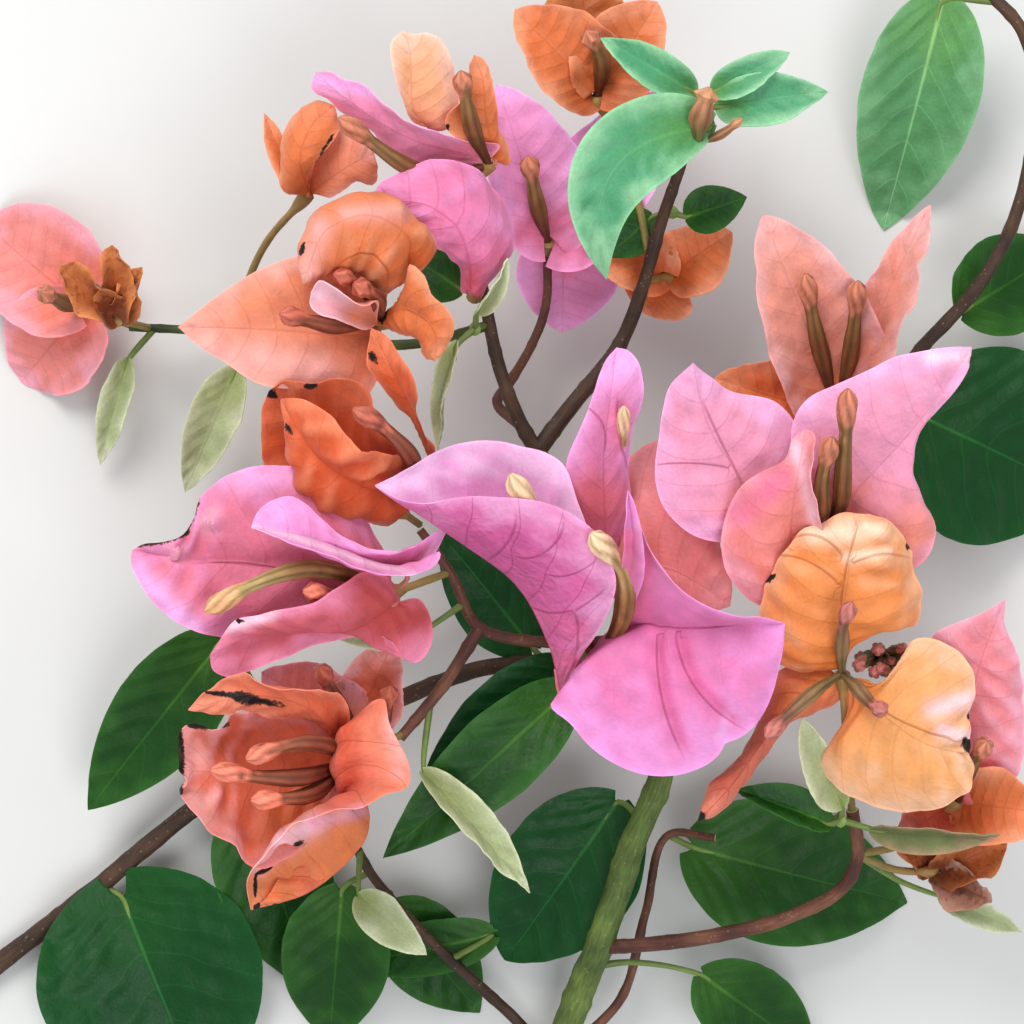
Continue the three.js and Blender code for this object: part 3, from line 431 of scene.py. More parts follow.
# Blooms: bracts round a hub, most often three, their tube flowers, and the stalk that carries them.
# A bract is given either by its tip, its half width, its fold and its roll, or by its midrib (spine),
# its two margins, the heights of these from foot to tip (rises) and how far each half bulges.
# shown is how strongly its veins show above and below. pleats are the height and the number of the
# small folds across it, and the middle and the reach of them along it. The rest are lines on it:
# harm is a dried, dark edge with its width, lines are arcs that a vein follows, folds are arcs with
# their width and depth, and paint is a line with its width and the name of what is sprayed along it.
BLOOMS = dict(
  bloom_centre_pink=dict(
    centre=[17, -31, 56], stalk=[[30, -36, 40.5]], tone="pink", buds="cream",
    bracts=[
      dict(spine=[[10, -36.8, 57], [6.8, -25.2, 62], [0.9, -14.6, 64], [-10.8, -5.8, 66], [-20, 0.4, 68],
          [-27.5, 5.3, 70]],
        left=[[12, -32.6], [13.8, -28.7], [17.9, -22.8], [20, -18.2], [20.8, -13.5], [19.1, -8.2],
          [16.2, -3.5], [8, 1.4], [-5, 3.1], [-11.4, 2.7], [-16.7, 1.8], [-22.6, 2.6]],
        right=[[15, -26], [16.4, -9], [13, 2.4], [9.8, 10], [0.9, 13.5], [-5, 14.2], [-11.4, 13.5],
          [-16.7, 11.2], [-22.6, 7.7]],
        rises=[[64, 70, 75, 77, 77, 76, 75, 73], [57, 59, 61, 64, 66, 68, 69]], bulge=[-0.14, -0.12],
        tone="deep_pink", shown=[0.2, 1],
        lines=[[0.9, -16.9, 7, -19.8, 12.6, -19.4], [12.6, -19.4, 15.9, -17.4, 18.2, -15.4],
          [-5.1, -9.6, -1.6, -6.9, 0.9, -0.9], [1.6, -8.9, 7.2, -7.4, 10.4, -2.2],
          [12.6, -19.4, 13.2, -25.6, 11.6, -31.6], [6.9, -12.4, 12.2, -12.2, 17, -9.4]]),
      dict(spine=[[20.4, -23.4, 58], [27.3, -22.3, 63], [36, -22.9, 67], [45, -22.6, 71],
          [54.6, -22.3, 75]],
        left=[[21.6, -18], [23.4, -8], [24.4, -2], [25.6, -3], [27.4, -7], [29.8, -11], [33, -15],
          [39, -19], [44.9, -20.6], [50.2, -21.1]],
        right=[[17.9, -25.2], [13.8, -30.4], [9.7, -36.3], [7.6, -38.7], [11.5, -42.2], [15.6, -46.9],
          [20.8, -50.4], [26.7, -52.5], [33.8, -52.5], [39, -50.6], [41.4, -48.4], [42.8, -46],
          [44.6, -45.6], [48.4, -42.8], [52, -36.9], [53.9, -29.3]],
        rises=[[65, 71, 77, 83, 84.5, 83, 81, 79, 77], [61, 65, 66, 67, 67, 68, 69, 72]], bulge=[0.05, 0.1],
        shown=[0.1, 0.2], tone="clear_pink",
        folds=[[29.1, -23.4, 29.3, -34, 33.6, -47.6, 1.4, 0.9],
          [32.6, -24, 35.8, -33.8, 45, -42.6, 1.4, 0.8]], lines=[[23.3, -21.6, 34.3, -23.3, 45.6, -22.4]],
        paint=[[27, -3, 30.4, -10.4, 0.9, "lilac"], [30.4, -10.4, 37.6, -17.6, 0.8, "lilac"],
          [37.6, -17.6, 48, -20.4, 0.7, "lilac"], [41.6, -45, 43.4, -40, 1.2, "lilac"],
          [29, -12, 36, -19.6, 2.6, "bright"], [26, -20, 27, -8, 1.8, "rosy"],
          # The deep sprays beside the two folds are painted shade in the creases.
          [30, -25, 31, -36, 1.1, "deep"], [31, -36, 34.2, -46, 1, "deep"],
          [34, -25, 37.2, -34, 1.3, "deep"], [37.2, -34, 44, -41, 1, "deep"]]),
      dict(spine=[[20.6, -24, 58], [23.4, -14, 72], [24.2, -5, 82], [23.2, 4.4, 89.6]],
        left=[[20.8, -18], [22, -10], [22.6, -2], [22.8, 1.6]],
        right=[[24.4, -18], [26.6, -12], [26.2, -6], [25.4, -1.1], [24.2, 2.6]],
        rises=[[62, 72, 82, 88], [63, 73, 80, 85, 88]], bulge=[-0.1, 0.1], shown=[0.1, 0.3],
        tone="clear_pink",
        paint=[[22.4, 2, 24.4, -3, 1.6, "lilac"], [24.4, -3, 27, -7, 1.2, "lilac"],
          [22, -18, 23.6, -5, 2.6, "rosy"]]),
    ],
    flower_radius=2.1,
    flowers=[[[22.4, -20, 66], [22, -12, 73], [16, -4.4, 79]], [[11, -14, 66], [-0.2, 7.4, 75]]],
  ),
  bloom_centre_upper=dict(
    centre=[22, -14, 50], stalk=[[22, -16.4, 42]], tone="pink", buds="cream",
    bracts=[
      dict(spine=[[19, -11, 51], [18.4, 0, 58], [18.2, 12, 63], [19.6, 23, 67], [20.9, 32.9, 69]],
        left=[[14, -6], [11, 2], [10.9, 10], [12.1, 13.4], [13.8, 17], [16.2, 23.5], [18.5, 30]],
        right=[[22, -6], [23.8, 3], [23.4, 10.6], [24.3, 16.5], [25.8, 21.2], [26.3, 25.8], [25.3, 30],
          [23.2, 32.3]],
        rises=[[54, 60, 64, 66, 68], [52, 56, 60, 64, 68]], bulge=[0.16, 0.1],
        paint=[[12, 2, 16, 4, 4.6, "salmon"], [14, -4, 20, 3, 4, "salmon"], [21, 14, 21, 20, 2, "rosy"],
          [18, 28, 24, 30, 3, "lilac"]],
        lines=[[14.4, 21.4, 17.6, 18.4, 18.4, 12.8], [21, 22.6, 21.6, 14, 23.4, 8]]),
      dict(spine=[[22, -13, 51], [30, -11, 54], [37, -14, 55], [43.6, -18.8, 56]],
        left=[[19, -4], [20.6, 6], [26, 13], [33, 14.4], [38.4, 8], [41, 0], [42, -8], [44, -14]],
        right=[[24, -17], [30, -20], [38, -20.6]],
        rises=[[51, 51, 53, 54, 55, 55, 55], [52, 54, 55]], bulge=[0.08, 0.05], tone="salmon"),
    ],
    flower_radius=1.2, flowers=[[[21, 0, 52], [22, 12, 60], [22.4, 21, 69.4]]],
  ),
  bloom_right_pink=dict(
    centre=[58, -6, 58], stalk=[[57.6, 6.4, 25]], tone="pink", buds="brown",
    bracts=[
      dict(spine=[[54.6, -3.4, 60], [46.2, 5, 63], [44, 9.6, 64], [40.8, 14.2, 66], [38, 21.1, 69],
          [36.2, 29.8, 73]],
        left=[[49, -5.6], [41.6, -6], [36.2, -4.6], [32.5, -1.8], [29.7, 2.3], [28.6, 8.2], [29.2, 13.8],
          [30, 19.2], [31.6, 25.2]],
        right=[[57.6, 2], [58.4, 9], [57.7, 15.2], [55.4, 19.7], [52.2, 22.3], [48.6, 23.2], [44, 24.1],
          [39.4, 27.1]],
        rises=[[60, 61, 62, 63, 65, 68], [61, 63, 65, 66, 68]], bulge=[0.08, 0.08], tone="light_pink",
        paint=[[56, -2, 48, -3, 4, "salmon"]],
        lines=[[38.3, 21.7, 42.6, 12.6, 46.2, 5.5], [29, 9.6, 37.2, 9.9, 44.6, 8.6]]),
      dict(spine=[[62, -3.4, 60], [65, 0, 64], [71.5, 7.3, 68], [78.4, 14.7, 71], [86, 24, 75],
          [92, 33, 79]],
        left=[[58.4, 2], [56, 12], [56.4, 18.6], [59.6, 23], [64.6, 25.4], [70.6, 28], [76.1, 30.8],
          [83, 32.3], [87.6, 33]],
        right=[[66, -9], [74, -13], [80.7, -11.2], [83.9, -7.8], [84.7, -3.2], [81.4, 3.2], [79.5, 8.7],
          [81.2, 15.2], [87.1, 22.5], [91.2, 28.4]],
        rises=[[62, 68, 71, 73, 75, 77], [59, 61, 63, 65, 68, 72, 76]], bulge=[0.12, 0.06],
        tone="light_pink", harm=[[92.2, 31, 92.6, 28.6, 0.9]],
        paint=[[74, -10, 81, -3, 6.4, "melon"], [84, 31, 91, 31, 1.4, "pale"]]),
      dict(spine=[[57.6, -14.6, 60], [55.6, -6, 67], [56.8, 5, 73], [58.8, 16.6, 77]],
        left=[[53, -18.8], [49.5, -18.9], [45.3, -15.6], [42.6, -10.6], [41.9, -5.1], [43, 0.4], [45.8, 5],
          [51.3, 8.7], [54.6, 11], [56.2, 14.6]],
        right=[[61.4, -12], [62.6, -6], [61.2, 0], [59.8, 6], [60.6, 12], [60.4, 15.6]],
        rises=[[62, 63, 64, 66, 69, 73], [64, 72, 77, 79, 79]], bulge=[0.14, -0.1], tone="salmon_pink",
        paint=[[56.6, 13, 60.4, -1, 1.3, "pale"], [46, 0, 54, 7, 3, "rosy"]]),
    ],
    flowers=[[[65, 0, 67], [66.4, 11, 77], [67.2, 24.4, 84]],
      [[61.6, -1, 68], [62, 7, 75], [64, 14.8, 81]]],
  ),
  bloom_right_orange=dict(
    centre=[66, -32.4, 62], stalk=[[68, -59.6, 49]], tone="yellow_orange", buds="dry",
    bracts=[
      dict(spine=[[65.8, -31.4, 62], [66.2, -22, 69], [67.4, -11, 73], [69.7, -0.4, 74]],
        left=[[60, -31.6], [53.6, -30.4], [50.2, -25.2], [49.8, -18.4], [50.8, -13.6], [54.4, -8.2],
          [57.8, -4.2], [62.4, -1.6], [66.4, -0.2]],
        right=[[67.4, -27], [69.4, -24.6], [73, -23.4], [77.6, -22.8], [81.2, -22.9], [81.9, -20],
          [81.8, -16.2], [80.6, -12.2], [79.8, -7.2], [77, -3.8], [73.8, -0.8]],
        rises=[[61, 62, 63, 65, 68, 71, 73], [62, 63, 64, 66, 68, 71, 73]], bulge=[0.18, 0.18],
        pleats=[0.75, 7, 0.8, 0.24],
        # The cream sprays are painted highlight on the puckers near its tip.
        paint=[[60, -4.6, 73, -3.4, 2.2, "cream"], [67, -9, 75, -8, 1.3, "cream"]],
        lines=[[65.6, -20, 66.4, -13, 69.4, -2], [51, -8.9, 60.2, -10.2, 66, -15.2],
          [67.6, -10.4, 73, -8.6, 79, -9], [56, -5.4, 61.6, -5, 66.2, -9]],
        harm=[[50.4, -13.9, 52.4, -12.8, 0.7], [78.8, -6.4, 79.4, -7.4, 0.5]]),
      dict(spine=[[67.2, -33.2, 62], [75.2, -41.2, 66], [82.6, -46.2, 67], [91.4, -48.6, 66]],
        left=[[70.6, -33.4], [73.4, -34.4], [75.5, -32.6], [77.5, -29], [79.8, -26], [82.6, -25.1],
          [86.5, -26.3], [89.9, -28.5], [92.3, -32.4], [92.6, -36.4], [91.4, -40.3], [91.8, -44.4]],
        right=[[66.6, -36], [67, -42], [61.2, -49.9], [62.8, -52.7], [67.4, -56.6], [73, -58.9],
          [79.2, -60.1], [84.2, -59.4], [89.3, -57.2], [92, -54.2], [92.5, -51.2]],
        rises=[[64, 65, 66, 66, 67, 67, 68], [58, 57, 57, 58, 60, 62, 65]], bulge=[0.1, 0.12],
        pleats=[0.8, 9, 0.93, 0.13], tone="amber",
        paint=[[84, -39.6, 91, -37.4, 1.9, "pale"], [86, -43.6, 91.6, -45, 1.5, "pale"],
          [68, -38, 62.6, -44, 4, "orange"]], lines=[[70.4, -36.6, 79.9, -42.6, 90, -45.6]],
        harm=[[91.2, -40.2, 91.7, -41.8, 0.5], [90.6, -45.6, 91.6, -47.6, 1.2]]),
      dict(spine=[[65.4, -32.8, 60], [55.8, -38.4, 63], [49.8, -46.6, 64], [43.6, -55, 63],
          [37.2, -61.8, 61]],
        left=[[62, -30.8], [54, -31.4], [51, -37.6], [47.8, -45.4], [43.4, -50.6], [38.8, -56]],
        right=[[66.6, -36.4], [60.4, -40.4], [55.4, -42.2], [50.2, -48.8], [47, -54], [43.2, -58.4],
          [39.6, -61.2]],
        rises=[[59, 57, 55, 56, 59], [58, 56, 56, 57, 59]], bulge=[-0.08, -0.1], tone="peach_coral",
        paint=[[64, -32, 56.4, -37.6, 4, "amber"]], harm=[[37, -63, 38, -60.6, 1.2]]),
    ],
    flower_radius=1.5, hole_buds=[73.8, -28.2, 60],
    flowers=[[[66, -27.6, 70], [66.4, -22, 77], [68, -18.2, 80]],
      [[61, -35.6, 68], [55.4, -40.6, 72], [50.8, -45, 74]],
      [[69, -35.2, 69], [72, -38.4, 74], [74.6, -40, 78]]],
  ),
  bloom_right_edge=dict(
    centre=[89, -58, 46], stalk=[[69.2, -68.6, 45], [79, -66, 43]], tone="pink", buds="brown",
    bracts=[
      dict(spine=[[89, -56, 46], [91, -42, 52], [94, -29, 58], [98.6, -17.4, 63]],
        left=[[84, -56], [82, -44], [82, -32], [84, -25], [86, -23.4], [89.9, -21.8], [94.4, -20]],
        right=[[92, -60.6], [95.6, -60.4], [99, -55.6], [102, -49.9], [102.4, -38.6], [102, -33],
          [100.6, -27.4], [98.6, -22.6]],
        rises=[[48, 52, 55, 58, 61], [46, 48, 50, 52, 56, 60]], bulge=[0.1, 0.12],
        pleats=[0.5, 9, 0.5, 0.3], tone="shell_pink"),
      dict(tip=[107, -60, 54], half=9, fold=20, tone="orange"),
      dict(tip=[77, -65, 51], half=8, fold=20, tone="red_orange"),
    ],
    flowers=[[[91, -52, 56], [95, -46, 66]]],
  ),
  bloom_right_dried=dict(
    centre=[84.6, -72, 38], stalk=[[69.2, -68.6, 45], [77, -71.6, 41]], tone="dried",
    bracts=[
      dict(tip=[99, -66, 42], half=6, fold=30),
      dict(tip=[96, -78, 42], half=6, fold=40, tone="papery"),
      dict(tip=[78, -64, 38], half=5, fold=30),
    ],
  ),
  bloom_upper_right=dict(
    centre=[65.2, 19, 34], stalk=[[71.6, 20.4, 22]], tone="peach", buds="brown",
    bracts=[
      dict(tip=[50.2, 59.4, 50], half=[10, 15], fold=14),
      dict(tip=[83.6, 61.4, 50], half=[6, 10], roll=-20, fold=30),
      dict(tip=[40.6, 26.8, 38], half=9, fold=20, tone="orange"),
    ],
    flowers=[[[61, 35, 46], [58.6, 47.4, 54]], [[68, 34, 46], [69.2, 46, 54]]],
  ),
  bloom_rear_pink=dict(
    centre=[7.2, 54, 28], stalk=[[7.2, 51.4, 24]], tone="soft_lilac", buds="brown",
    bracts=[
      dict(tip=[-3, 85.4, 40], half=[9, 13], fold=14),
      dict(tip=[30, 84, 34], half=[10, 13], fold=10),
      dict(foot=[10.4, 53, 23], tip=[10, 36, 15], half=[12, 10], fold=-8, bow=-0.05),
    ],
    flowers=[[[5, 62, 38], [3.2, 71, 44]]],
  ),
  bloom_top_orange=dict(
    centre=[17, 83, 42], stalk=[[27.6, 50.4, 41], [24.6, 64.4, 38], [20, 77, 38]], tone="orange",
    buds="brown",
    bracts=[
      dict(tip=[29, 102, 46], half=[10, 9], fold=14),
      dict(tip=[0.6, 100.4, 50], half=[8, 12], fold=20),
      dict(tip=[13, 109, 43], half=11, fold=8, tone="dried"),
    ],
    flowers=[[[18, 90, 50], [15, 96, 56]]],
  ),
  bloom_rear_orange=dict(
    centre=[31, 47, 30], stalk=[[26.5, 46, 40]], tone="orange",
    bracts=[
      dict(tip=[13, 60, 34], half=[8, 7], fold=16),
      dict(tip=[44, 56, 36], half=[8, 8], fold=16),
      dict(tip=[26, 40, 28], half=9, fold=16),
    ],
  ),
  bloom_top_left_pink=dict(
    centre=[-4.6, 69.4, 48], stalk=[[-11.4, 58.4, 43]], tone="rose", buds="brown",
    bracts=[
      dict(spine=[[-4.4, 70.6, 49], [-12, 72.4, 50], [-19, 74.2, 52], [-25, 77.2, 54], [-31, 81.2, 56],
          [-36, 85, 57], [-39.2, 88, 58]],
        left=[[-4.2, 68.6], [-8.8, 69.6], [-13.2, 70.4], [-20.4, 68.8], [-23.8, 70.6], [-27.8, 75.9],
          [-31, 78], [-34.2, 79.8], [-37, 82.4], [-40.2, 84.8]],
        right=[[-2.4, 73.2], [-9.6, 74.5], [-13.8, 75.6], [-19.2, 77.4], [-22.8, 79.6], [-26.8, 82.6],
          [-29.6, 85.6], [-33.2, 86.4], [-36.4, 88]],
        rises=[[47, 46, 46, 48, 51, 54], [51, 54, 56, 58, 59, 59, 59]], bulge=[0.05, -0.1],
        tone="bright_rose",
        paint=[[-38, 86.6, -30, 84.6, 1.6, "lilac"], [-30, 84.6, -16, 76.4, 0.9, "lilac"]]),
      dict(spine=[[-16.4, 76.8, 50], [-19.6, 80.4, 53], [-20.2, 87.4, 56], [-20.8, 94, 58],
          [-22, 96.2, 58]],
        left=[[-20, 78], [-22, 82.6], [-23.2, 86.6], [-24.2, 90.6], [-24.2, 93.8]],
        right=[[-13.4, 76.2], [-11.6, 78.4], [-10.8, 82.4], [-11.4, 87.6], [-12.4, 91.2], [-14.6, 94.8],
          [-16.8, 95.8], [-19.4, 95.6]],
        rises=[[52, 54, 57, 59], [50, 52, 55, 57, 58, 59]], bulge=[0.1, 0.1], tone="pale_peach"),
      dict(spine=[[-3, 70, 48], [-5, 78, 52], [-6, 87, 55], [-7.6, 91.4, 56]],
        left=[[-13.2, 76.8], [-13, 78.8], [-10.4, 81.6], [-9.2, 84], [-8.8, 88]],
        right=[[-0.6, 69.4], [-0.6, 73.2], [-2.4, 77], [-3.2, 82.4], [-4.2, 87.6], [-5.6, 90.6]],
        rises=[[50, 54, 56, 57, 57], [46, 49, 52, 54, 55]], bulge=[-0.1, 0.08], tone="orange",
        harm=[[-13.4, 76, -12.8, 77.4, 0.6]]),
    ],
    flowers=[[[-8, 77, 56], [-10.2, 88, 62]], [[-12, 67.6, 50], [-20, 68.6, 57], [-34.4, 78.8, 66]]],
  ),
  bloom_left_round=dict(
    centre=[-7.6, 43, 47], stalk=[[-6.4, 46.4, 41]], tone="rose",
    bracts=[
      dict(spine=[[-8.4, 44.2, 49], [-8.6, 50, 56], [-11, 57, 60], [-17, 61.4, 61], [-23, 62.4, 60],
          [-27.6, 63.8, 60]],
        left=[[-10, 43.8], [-10.4, 48.4], [-13.4, 51.6], [-18.4, 55.4], [-22.4, 59.4], [-25.4, 61.8]],
        right=[[-6.4, 42.8], [-5, 45.6], [-3.4, 47.4], [-1.4, 49.4], [0.2, 52], [0.2, 55.6], [-0.6, 59.8],
          [-2.8, 64.4], [-6, 67.6], [-9.6, 69.8], [-13.2, 70.4], [-16.4, 70.4], [-19.2, 69.4], [-22, 68],
          [-26, 66]],
        rises=[[49, 54, 57, 57, 58], [48, 49, 50, 51, 53, 55, 57, 58, 59]], bulge=[0.1, 0.14],
        tone="lilac_rose", pleats=[0.35, 5, 0.55, 0.35], shown=[0.5, 0.7]),
    ],
  ),
  bloom_left_orange=dict(
    centre=[-26.6, 38, 57], stalk=[[-13.4, 34.8, 37]], tone="orange", buds="red",
    bracts=[
      dict(spine=[[-27, 35, 56], [-36.3, 35.4, 60], [-46, 36.4, 62], [-57, 36.9, 63], [-66.8, 37, 65]],
        left=[[-26, 32], [-27, 26], [-29.4, 23.3], [-38, 24.4], [-49.1, 25.2], [-53.3, 27], [-57.8, 30.2],
          [-62.4, 33]],
        right=[[-28, 40], [-33, 48.6], [-38, 51.6], [-43.6, 51], [-50, 48.8], [-56.9, 44.8], [-62.9, 40.2]],
        rises=[[56, 58, 60, 62, 63, 64], [57, 58, 60, 62, 63, 64]], bulge=[0.06, 0.08], tone="two_orange",
        paint=[[-60, 33, -38, 27.6, 4.4, "blush"]]),
      dict(spine=[[-24.6, 46.4, 60], [-20.6, 54.4, 70], [-28.4, 59.4, 75], [-37, 56.4, 75],
          [-41.8, 45.6, 69]],
        left=[[-25, 43.6], [-28, 44.6], [-32, 46.6], [-35.4, 47.2], [-38.2, 46.6], [-40.8, 45.6]],
        right=[[-17.9, 49], [-14.9, 51.3], [-14.7, 53.6], [-17.4, 56.3], [-20.7, 59.6], [-24.4, 62.5],
          [-28.5, 63.1], [-32.2, 62.4], [-36.3, 61.2], [-40, 57.7], [-42.1, 54], [-42.4, 50.2]],
        rises=[[60, 60, 61, 62, 64, 66], [60, 62, 63, 64, 65, 66, 66, 67]], bulge=[0.22, 0.24],
        pleats=[0.6, 7, 0.35, 0.25], harm=[[-42.2, 51.5, -41.6, 53.6, 0.5]],
        lines=[[-33.6, 50.6, -28, 51.6, -24.6, 47]],
        paint=[[-41, 48, -38, 57, 2.6, "blush"], [-33, 60, -22, 60, 2, "blush"]]),
      dict(spine=[[-27, 38.4, 60], [-21, 40.6, 65], [-15.6, 36.6, 66], [-15.4, 30.2, 63]],
        left=[[-24.8, 40.2], [-22.6, 41.8], [-21.2, 44.6], [-20.4, 49.6], [-17.6, 47.4], [-16, 43.4],
          [-12.9, 40.6], [-11.6, 37], [-12.9, 33]],
        right=[[-24.4, 36.1], [-21.6, 35.2], [-18.8, 34.3], [-17.2, 31.4]],
        rises=[[62, 66, 71, 71, 68, 66, 64], [60, 61, 61, 61]], bulge=[0.1, 0.14],
        harm=[[-26.4, 37.4, -25, 40.6, 0.6]]),
      dict(spine=[[-27, 37.6, 62], [-33.4, 40, 65], [-38, 41.8, 68], [-40.2, 43.8, 70]],
        left=[[-29, 36.4], [-34, 38.2], [-38, 39.2], [-40.2, 41]],
        right=[[-27, 42.4], [-29.6, 41.2], [-33, 43], [-36.4, 45.6], [-38.6, 46.4]],
        rises=[[64, 67, 69, 70], [70, 72, 73, 73, 72]], bulge=[-0.06, -0.12], tone="blush",
        shown=[0.1, 0.3], paint=[[-31.4, 39, -27.4, 40.4, 2.8, "melon"]]),
    ],
    flowers=[[[-36, 37.4, 66], [-46.2, 39.6, 72]], [[-27.4, 43, 68], [-31.4, 45.6, 73]],
      [[-29.4, 45, 66], [-35.4, 47.6, 71]]],
  ),
  bloom_left_crumpled=dict(
    centre=[-22, 0, 54], stalk=[[-18.4, -2.6, 52]], tone="deep_orange", buds="red",
    bracts=[
      dict(spine=[[-16, 9.6, 58], [-18.4, 17.4, 63], [-22.4, 25.4, 68], [-28.2, 36.8, 70]],
        left=[[-17.8, 14], [-20.2, 18.2], [-22.8, 21.6], [-24.8, 24.4], [-27.6, 27], [-29, 30],
          [-28.8, 33]],
        right=[[-15.4, 12.8], [-16.9, 15], [-18.6, 18.2], [-19.2, 23.7], [-20.2, 27.4], [-22.5, 31.6],
          [-25.3, 35.4]],
        rises=[[58, 61, 64, 66, 68], [57, 59, 63, 66, 69]], bulge=[0.05, -0.1],
        harm=[[-28.4, 32, -27.2, 30, 0.7]]),
      dict(spine=[[-21, 6, 56], [-29, 10, 52], [-40, 16, 54], [-48.6, 24.2, 62]],
        left=[[-28, 2], [-38, 0], [-44, 3.2], [-46.8, 4.9], [-49.2, 9], [-50.1, 13.6], [-50.3, 19.6]],
        right=[[-19, 12], [-25.3, 14.6], [-28.6, 24], [-31.7, 26], [-36.3, 26.2], [-40.9, 25.2],
          [-45.4, 26.2]],
        rises=[[50, 50, 52, 54, 57, 60], [57, 60, 64, 65, 65, 64]], bulge=[-0.05, -0.05],
        harm=[[-49.4, 24.6, -47.4, 23.2, 1.0], [-41.4, 25.2, -39.2, 25.4, 0.7]]),
      dict(spine=[[-21, 3, 55], [-29, 5, 65], [-37, 9.6, 69], [-43, 17, 69], [-46.2, 22.6, 68]],
        left=[[-20.8, 0], [-23.4, -2.2], [-27.1, -2.2], [-31.7, -1.2], [-37.2, -0.6], [-41.4, 2.2],
          [-44, 7], [-45, 13.6], [-46, 19]],
        right=[[-17.6, 8.6], [-20.2, 10.8], [-24.8, 11.6], [-29.4, 12.4], [-32.6, 14.6], [-35.4, 18.4],
          [-39, 21.2], [-43, 22.8]],
        rises=[[52, 53, 54, 55, 58, 62, 66], [58, 62, 70, 75, 75, 74, 71]], bulge=[0.22, 0.14],
        pleats=[0.9, 7, 0.5, 0.4], tone="deep_orange", harm=[[-45.2, 17.6, -44, 15.6, 0.5]]),
    ],
    flowers=[[[-19.6, 8.6, 64], [-21.2, 12.4, 70], [-26.6, 17.6, 74], [-31.6, 20.6, 76]]],
  ),
  bloom_left_pink=dict(
    centre=[-23.4, -16, 56], stalk=[[-12.4, -12, 50]], tone="pink", buds=["honey", "coral"],
    bracts=[
      dict(spine=[[-24, -15.6, 56], [-35, -12.4, 60], [-43.7, -11.2, 61], [-52.4, -10.5, 62],
          [-64, -9.4, 63], [-75.9, -7.6, 66]],
        left=[[-27, -21], [-40, -25], [-52, -26], [-58, -25.1], [-61.9, -24.4], [-66.3, -22.5], [-71, -19],
          [-74.5, -14.2], [-76.2, -10]],
        right=[[-25, -9], [-32, 2], [-41, 8.6], [-49.8, 9.3], [-54.1, 8.4], [-58.9, 6.2], [-62.4, 2.7],
          [-63.7, -1.6], [-65.8, -4.4], [-69.7, -6], [-73.6, -6.4]],
        rises=[[56, 58, 59, 61, 63, 65, 66], [56, 57, 59, 62, 64, 66, 67]], bulge=[0.12, 0.14],
        tone="rosy_pink", pleats=[0.5, 9, 0.8, 0.14],
        folds=[[-60.8, -2.8, -60.4, -2, -60.2, -1, 2.6, -1.8],
          [-68, -7.8, -67.4, -8.4, -66.8, -8.6, 2.2, -1.3]],
        lines=[[-62, -10.2, -51.8, -10.2, -38.4, -13.9]],
        paint=[[-61, -2.4, -60, -1, 2.2, "soft"], [-68, -8, -67, -8.6, 2, "soft"],
          [-75, -12, -64, -22.6, 2.6, "lilac"], [-54, 7, -44, 7.4, 3, "lilac"]],
        harm=[[-75.4, -6.4, -65, -4, 1.1], [-66.4, -4.6, -63, 2.6, 1.1]]),
      dict(spine=[[-20.8, -12.8, 60], [-31, -8.4, 68], [-41, -5, 72], [-52.2, -3, 76]],
        left=[[-14.4, -8], [-14.6, -9.6], [-17, -11.8], [-20.7, -13], [-26.4, -12.4], [-31.6, -10.9],
          [-37.2, -8.6], [-42.8, -6.5], [-48, -4.7]],
        right=[[-16, -9], [-13.3, -3.2], [-17.2, -5.4], [-20.3, -7.4], [-27.6, -7.6], [-31.2, -6.4],
          [-34.6, -4.2], [-38.1, -1.2], [-41.6, 1.8], [-44.2, 3.2], [-48, 2.3], [-50.8, 0.1]],
        rises=[[66, 72, 77, 80, 81, 80, 78], [60, 64, 67, 68, 69, 70, 71, 73]], bulge=[-0.1, 0.1],
        tone="lilac_pink",
        paint=[[-51.4, -3, -40.6, -6, 0.7, "pale"], [-40.6, -6, -28, -10.6, 0.7, "pale"],
          [-28, -10.6, -20, -12.4, 0.7, "pale"]]),
      dict(spine=[[-23, -18, 59], [-32, -23.6, 66], [-41.6, -24.2, 70], [-52, -24.8, 71],
          [-60.4, -28.6, 70]],
        left=[[-18.6, -17.4], [-16, -22.4], [-16.4, -27.2], [-18.6, -30], [-20.7, -30], [-22.4, -28.1],
          [-24.2, -25.7], [-28, -24.6], [-34, -25.4], [-40.2, -26.8], [-44.6, -28.8], [-48, -30],
          [-52.4, -31.8], [-56.7, -33], [-59.8, -31.6]],
        right=[[-24, -14], [-29.8, -12], [-32.9, -13.8], [-36.4, -16], [-39.4, -18.1], [-43.7, -19],
          [-48, -19.8], [-50.7, -20.7], [-55, -21.4], [-57.2, -23.8], [-59.3, -27]],
        rises=[[58, 60, 60, 61, 62, 63, 65, 67, 68], [62, 68, 71, 73, 74, 74, 73, 71]], bulge=[-0.16, 0.14],
        tone="coral_pink", harm=[[-55, -21.6, -54, -21.8, 0.6]],
        # The pale spray along the rolled edge is painted highlight.
        paint=[[-57, -23, -48, -20.6, 1.2, "pale"], [-30, -14, -24, -20, 4, "coral"]]),
    ],
    flowers=[[[-31, -13.2, 63], [-41, -11.4, 68], [-51.4, -14.4, 71], [-61.2, -19.8, 71]],
      [[-32, -17, 66], [-41.6, -15.8, 70]]],
  ),
  bloom_lower_cup=dict(
    centre=[-33, -50, 52], stalk=[[-21.4, -44.2, 46]], tone="red_orange", buds="coral",
    bracts=[
      dict(spine=[[-34, -45.6, 56], [-42, -38.6, 68], [-52, -36.6, 70], [-64.8, -39.6, 71]],
        left=[[-35, -46.6], [-38, -42.6], [-42.5, -41.2], [-47.7, -41], [-52.9, -39.6], [-57, -40.4],
          [-61, -40.4]],
        right=[[-32.4, -41.6], [-33.6, -37.6], [-37, -35.6], [-42.5, -35.9], [-47.7, -35.6], [-50.6, -34.1],
          [-53.6, -32.3], [-58.4, -34.1], [-61.4, -36]],
        rises=[[57, 62, 65, 67, 69], [62, 69, 73, 74, 73, 72]], bulge=[0.1, -0.16], tone="flame",
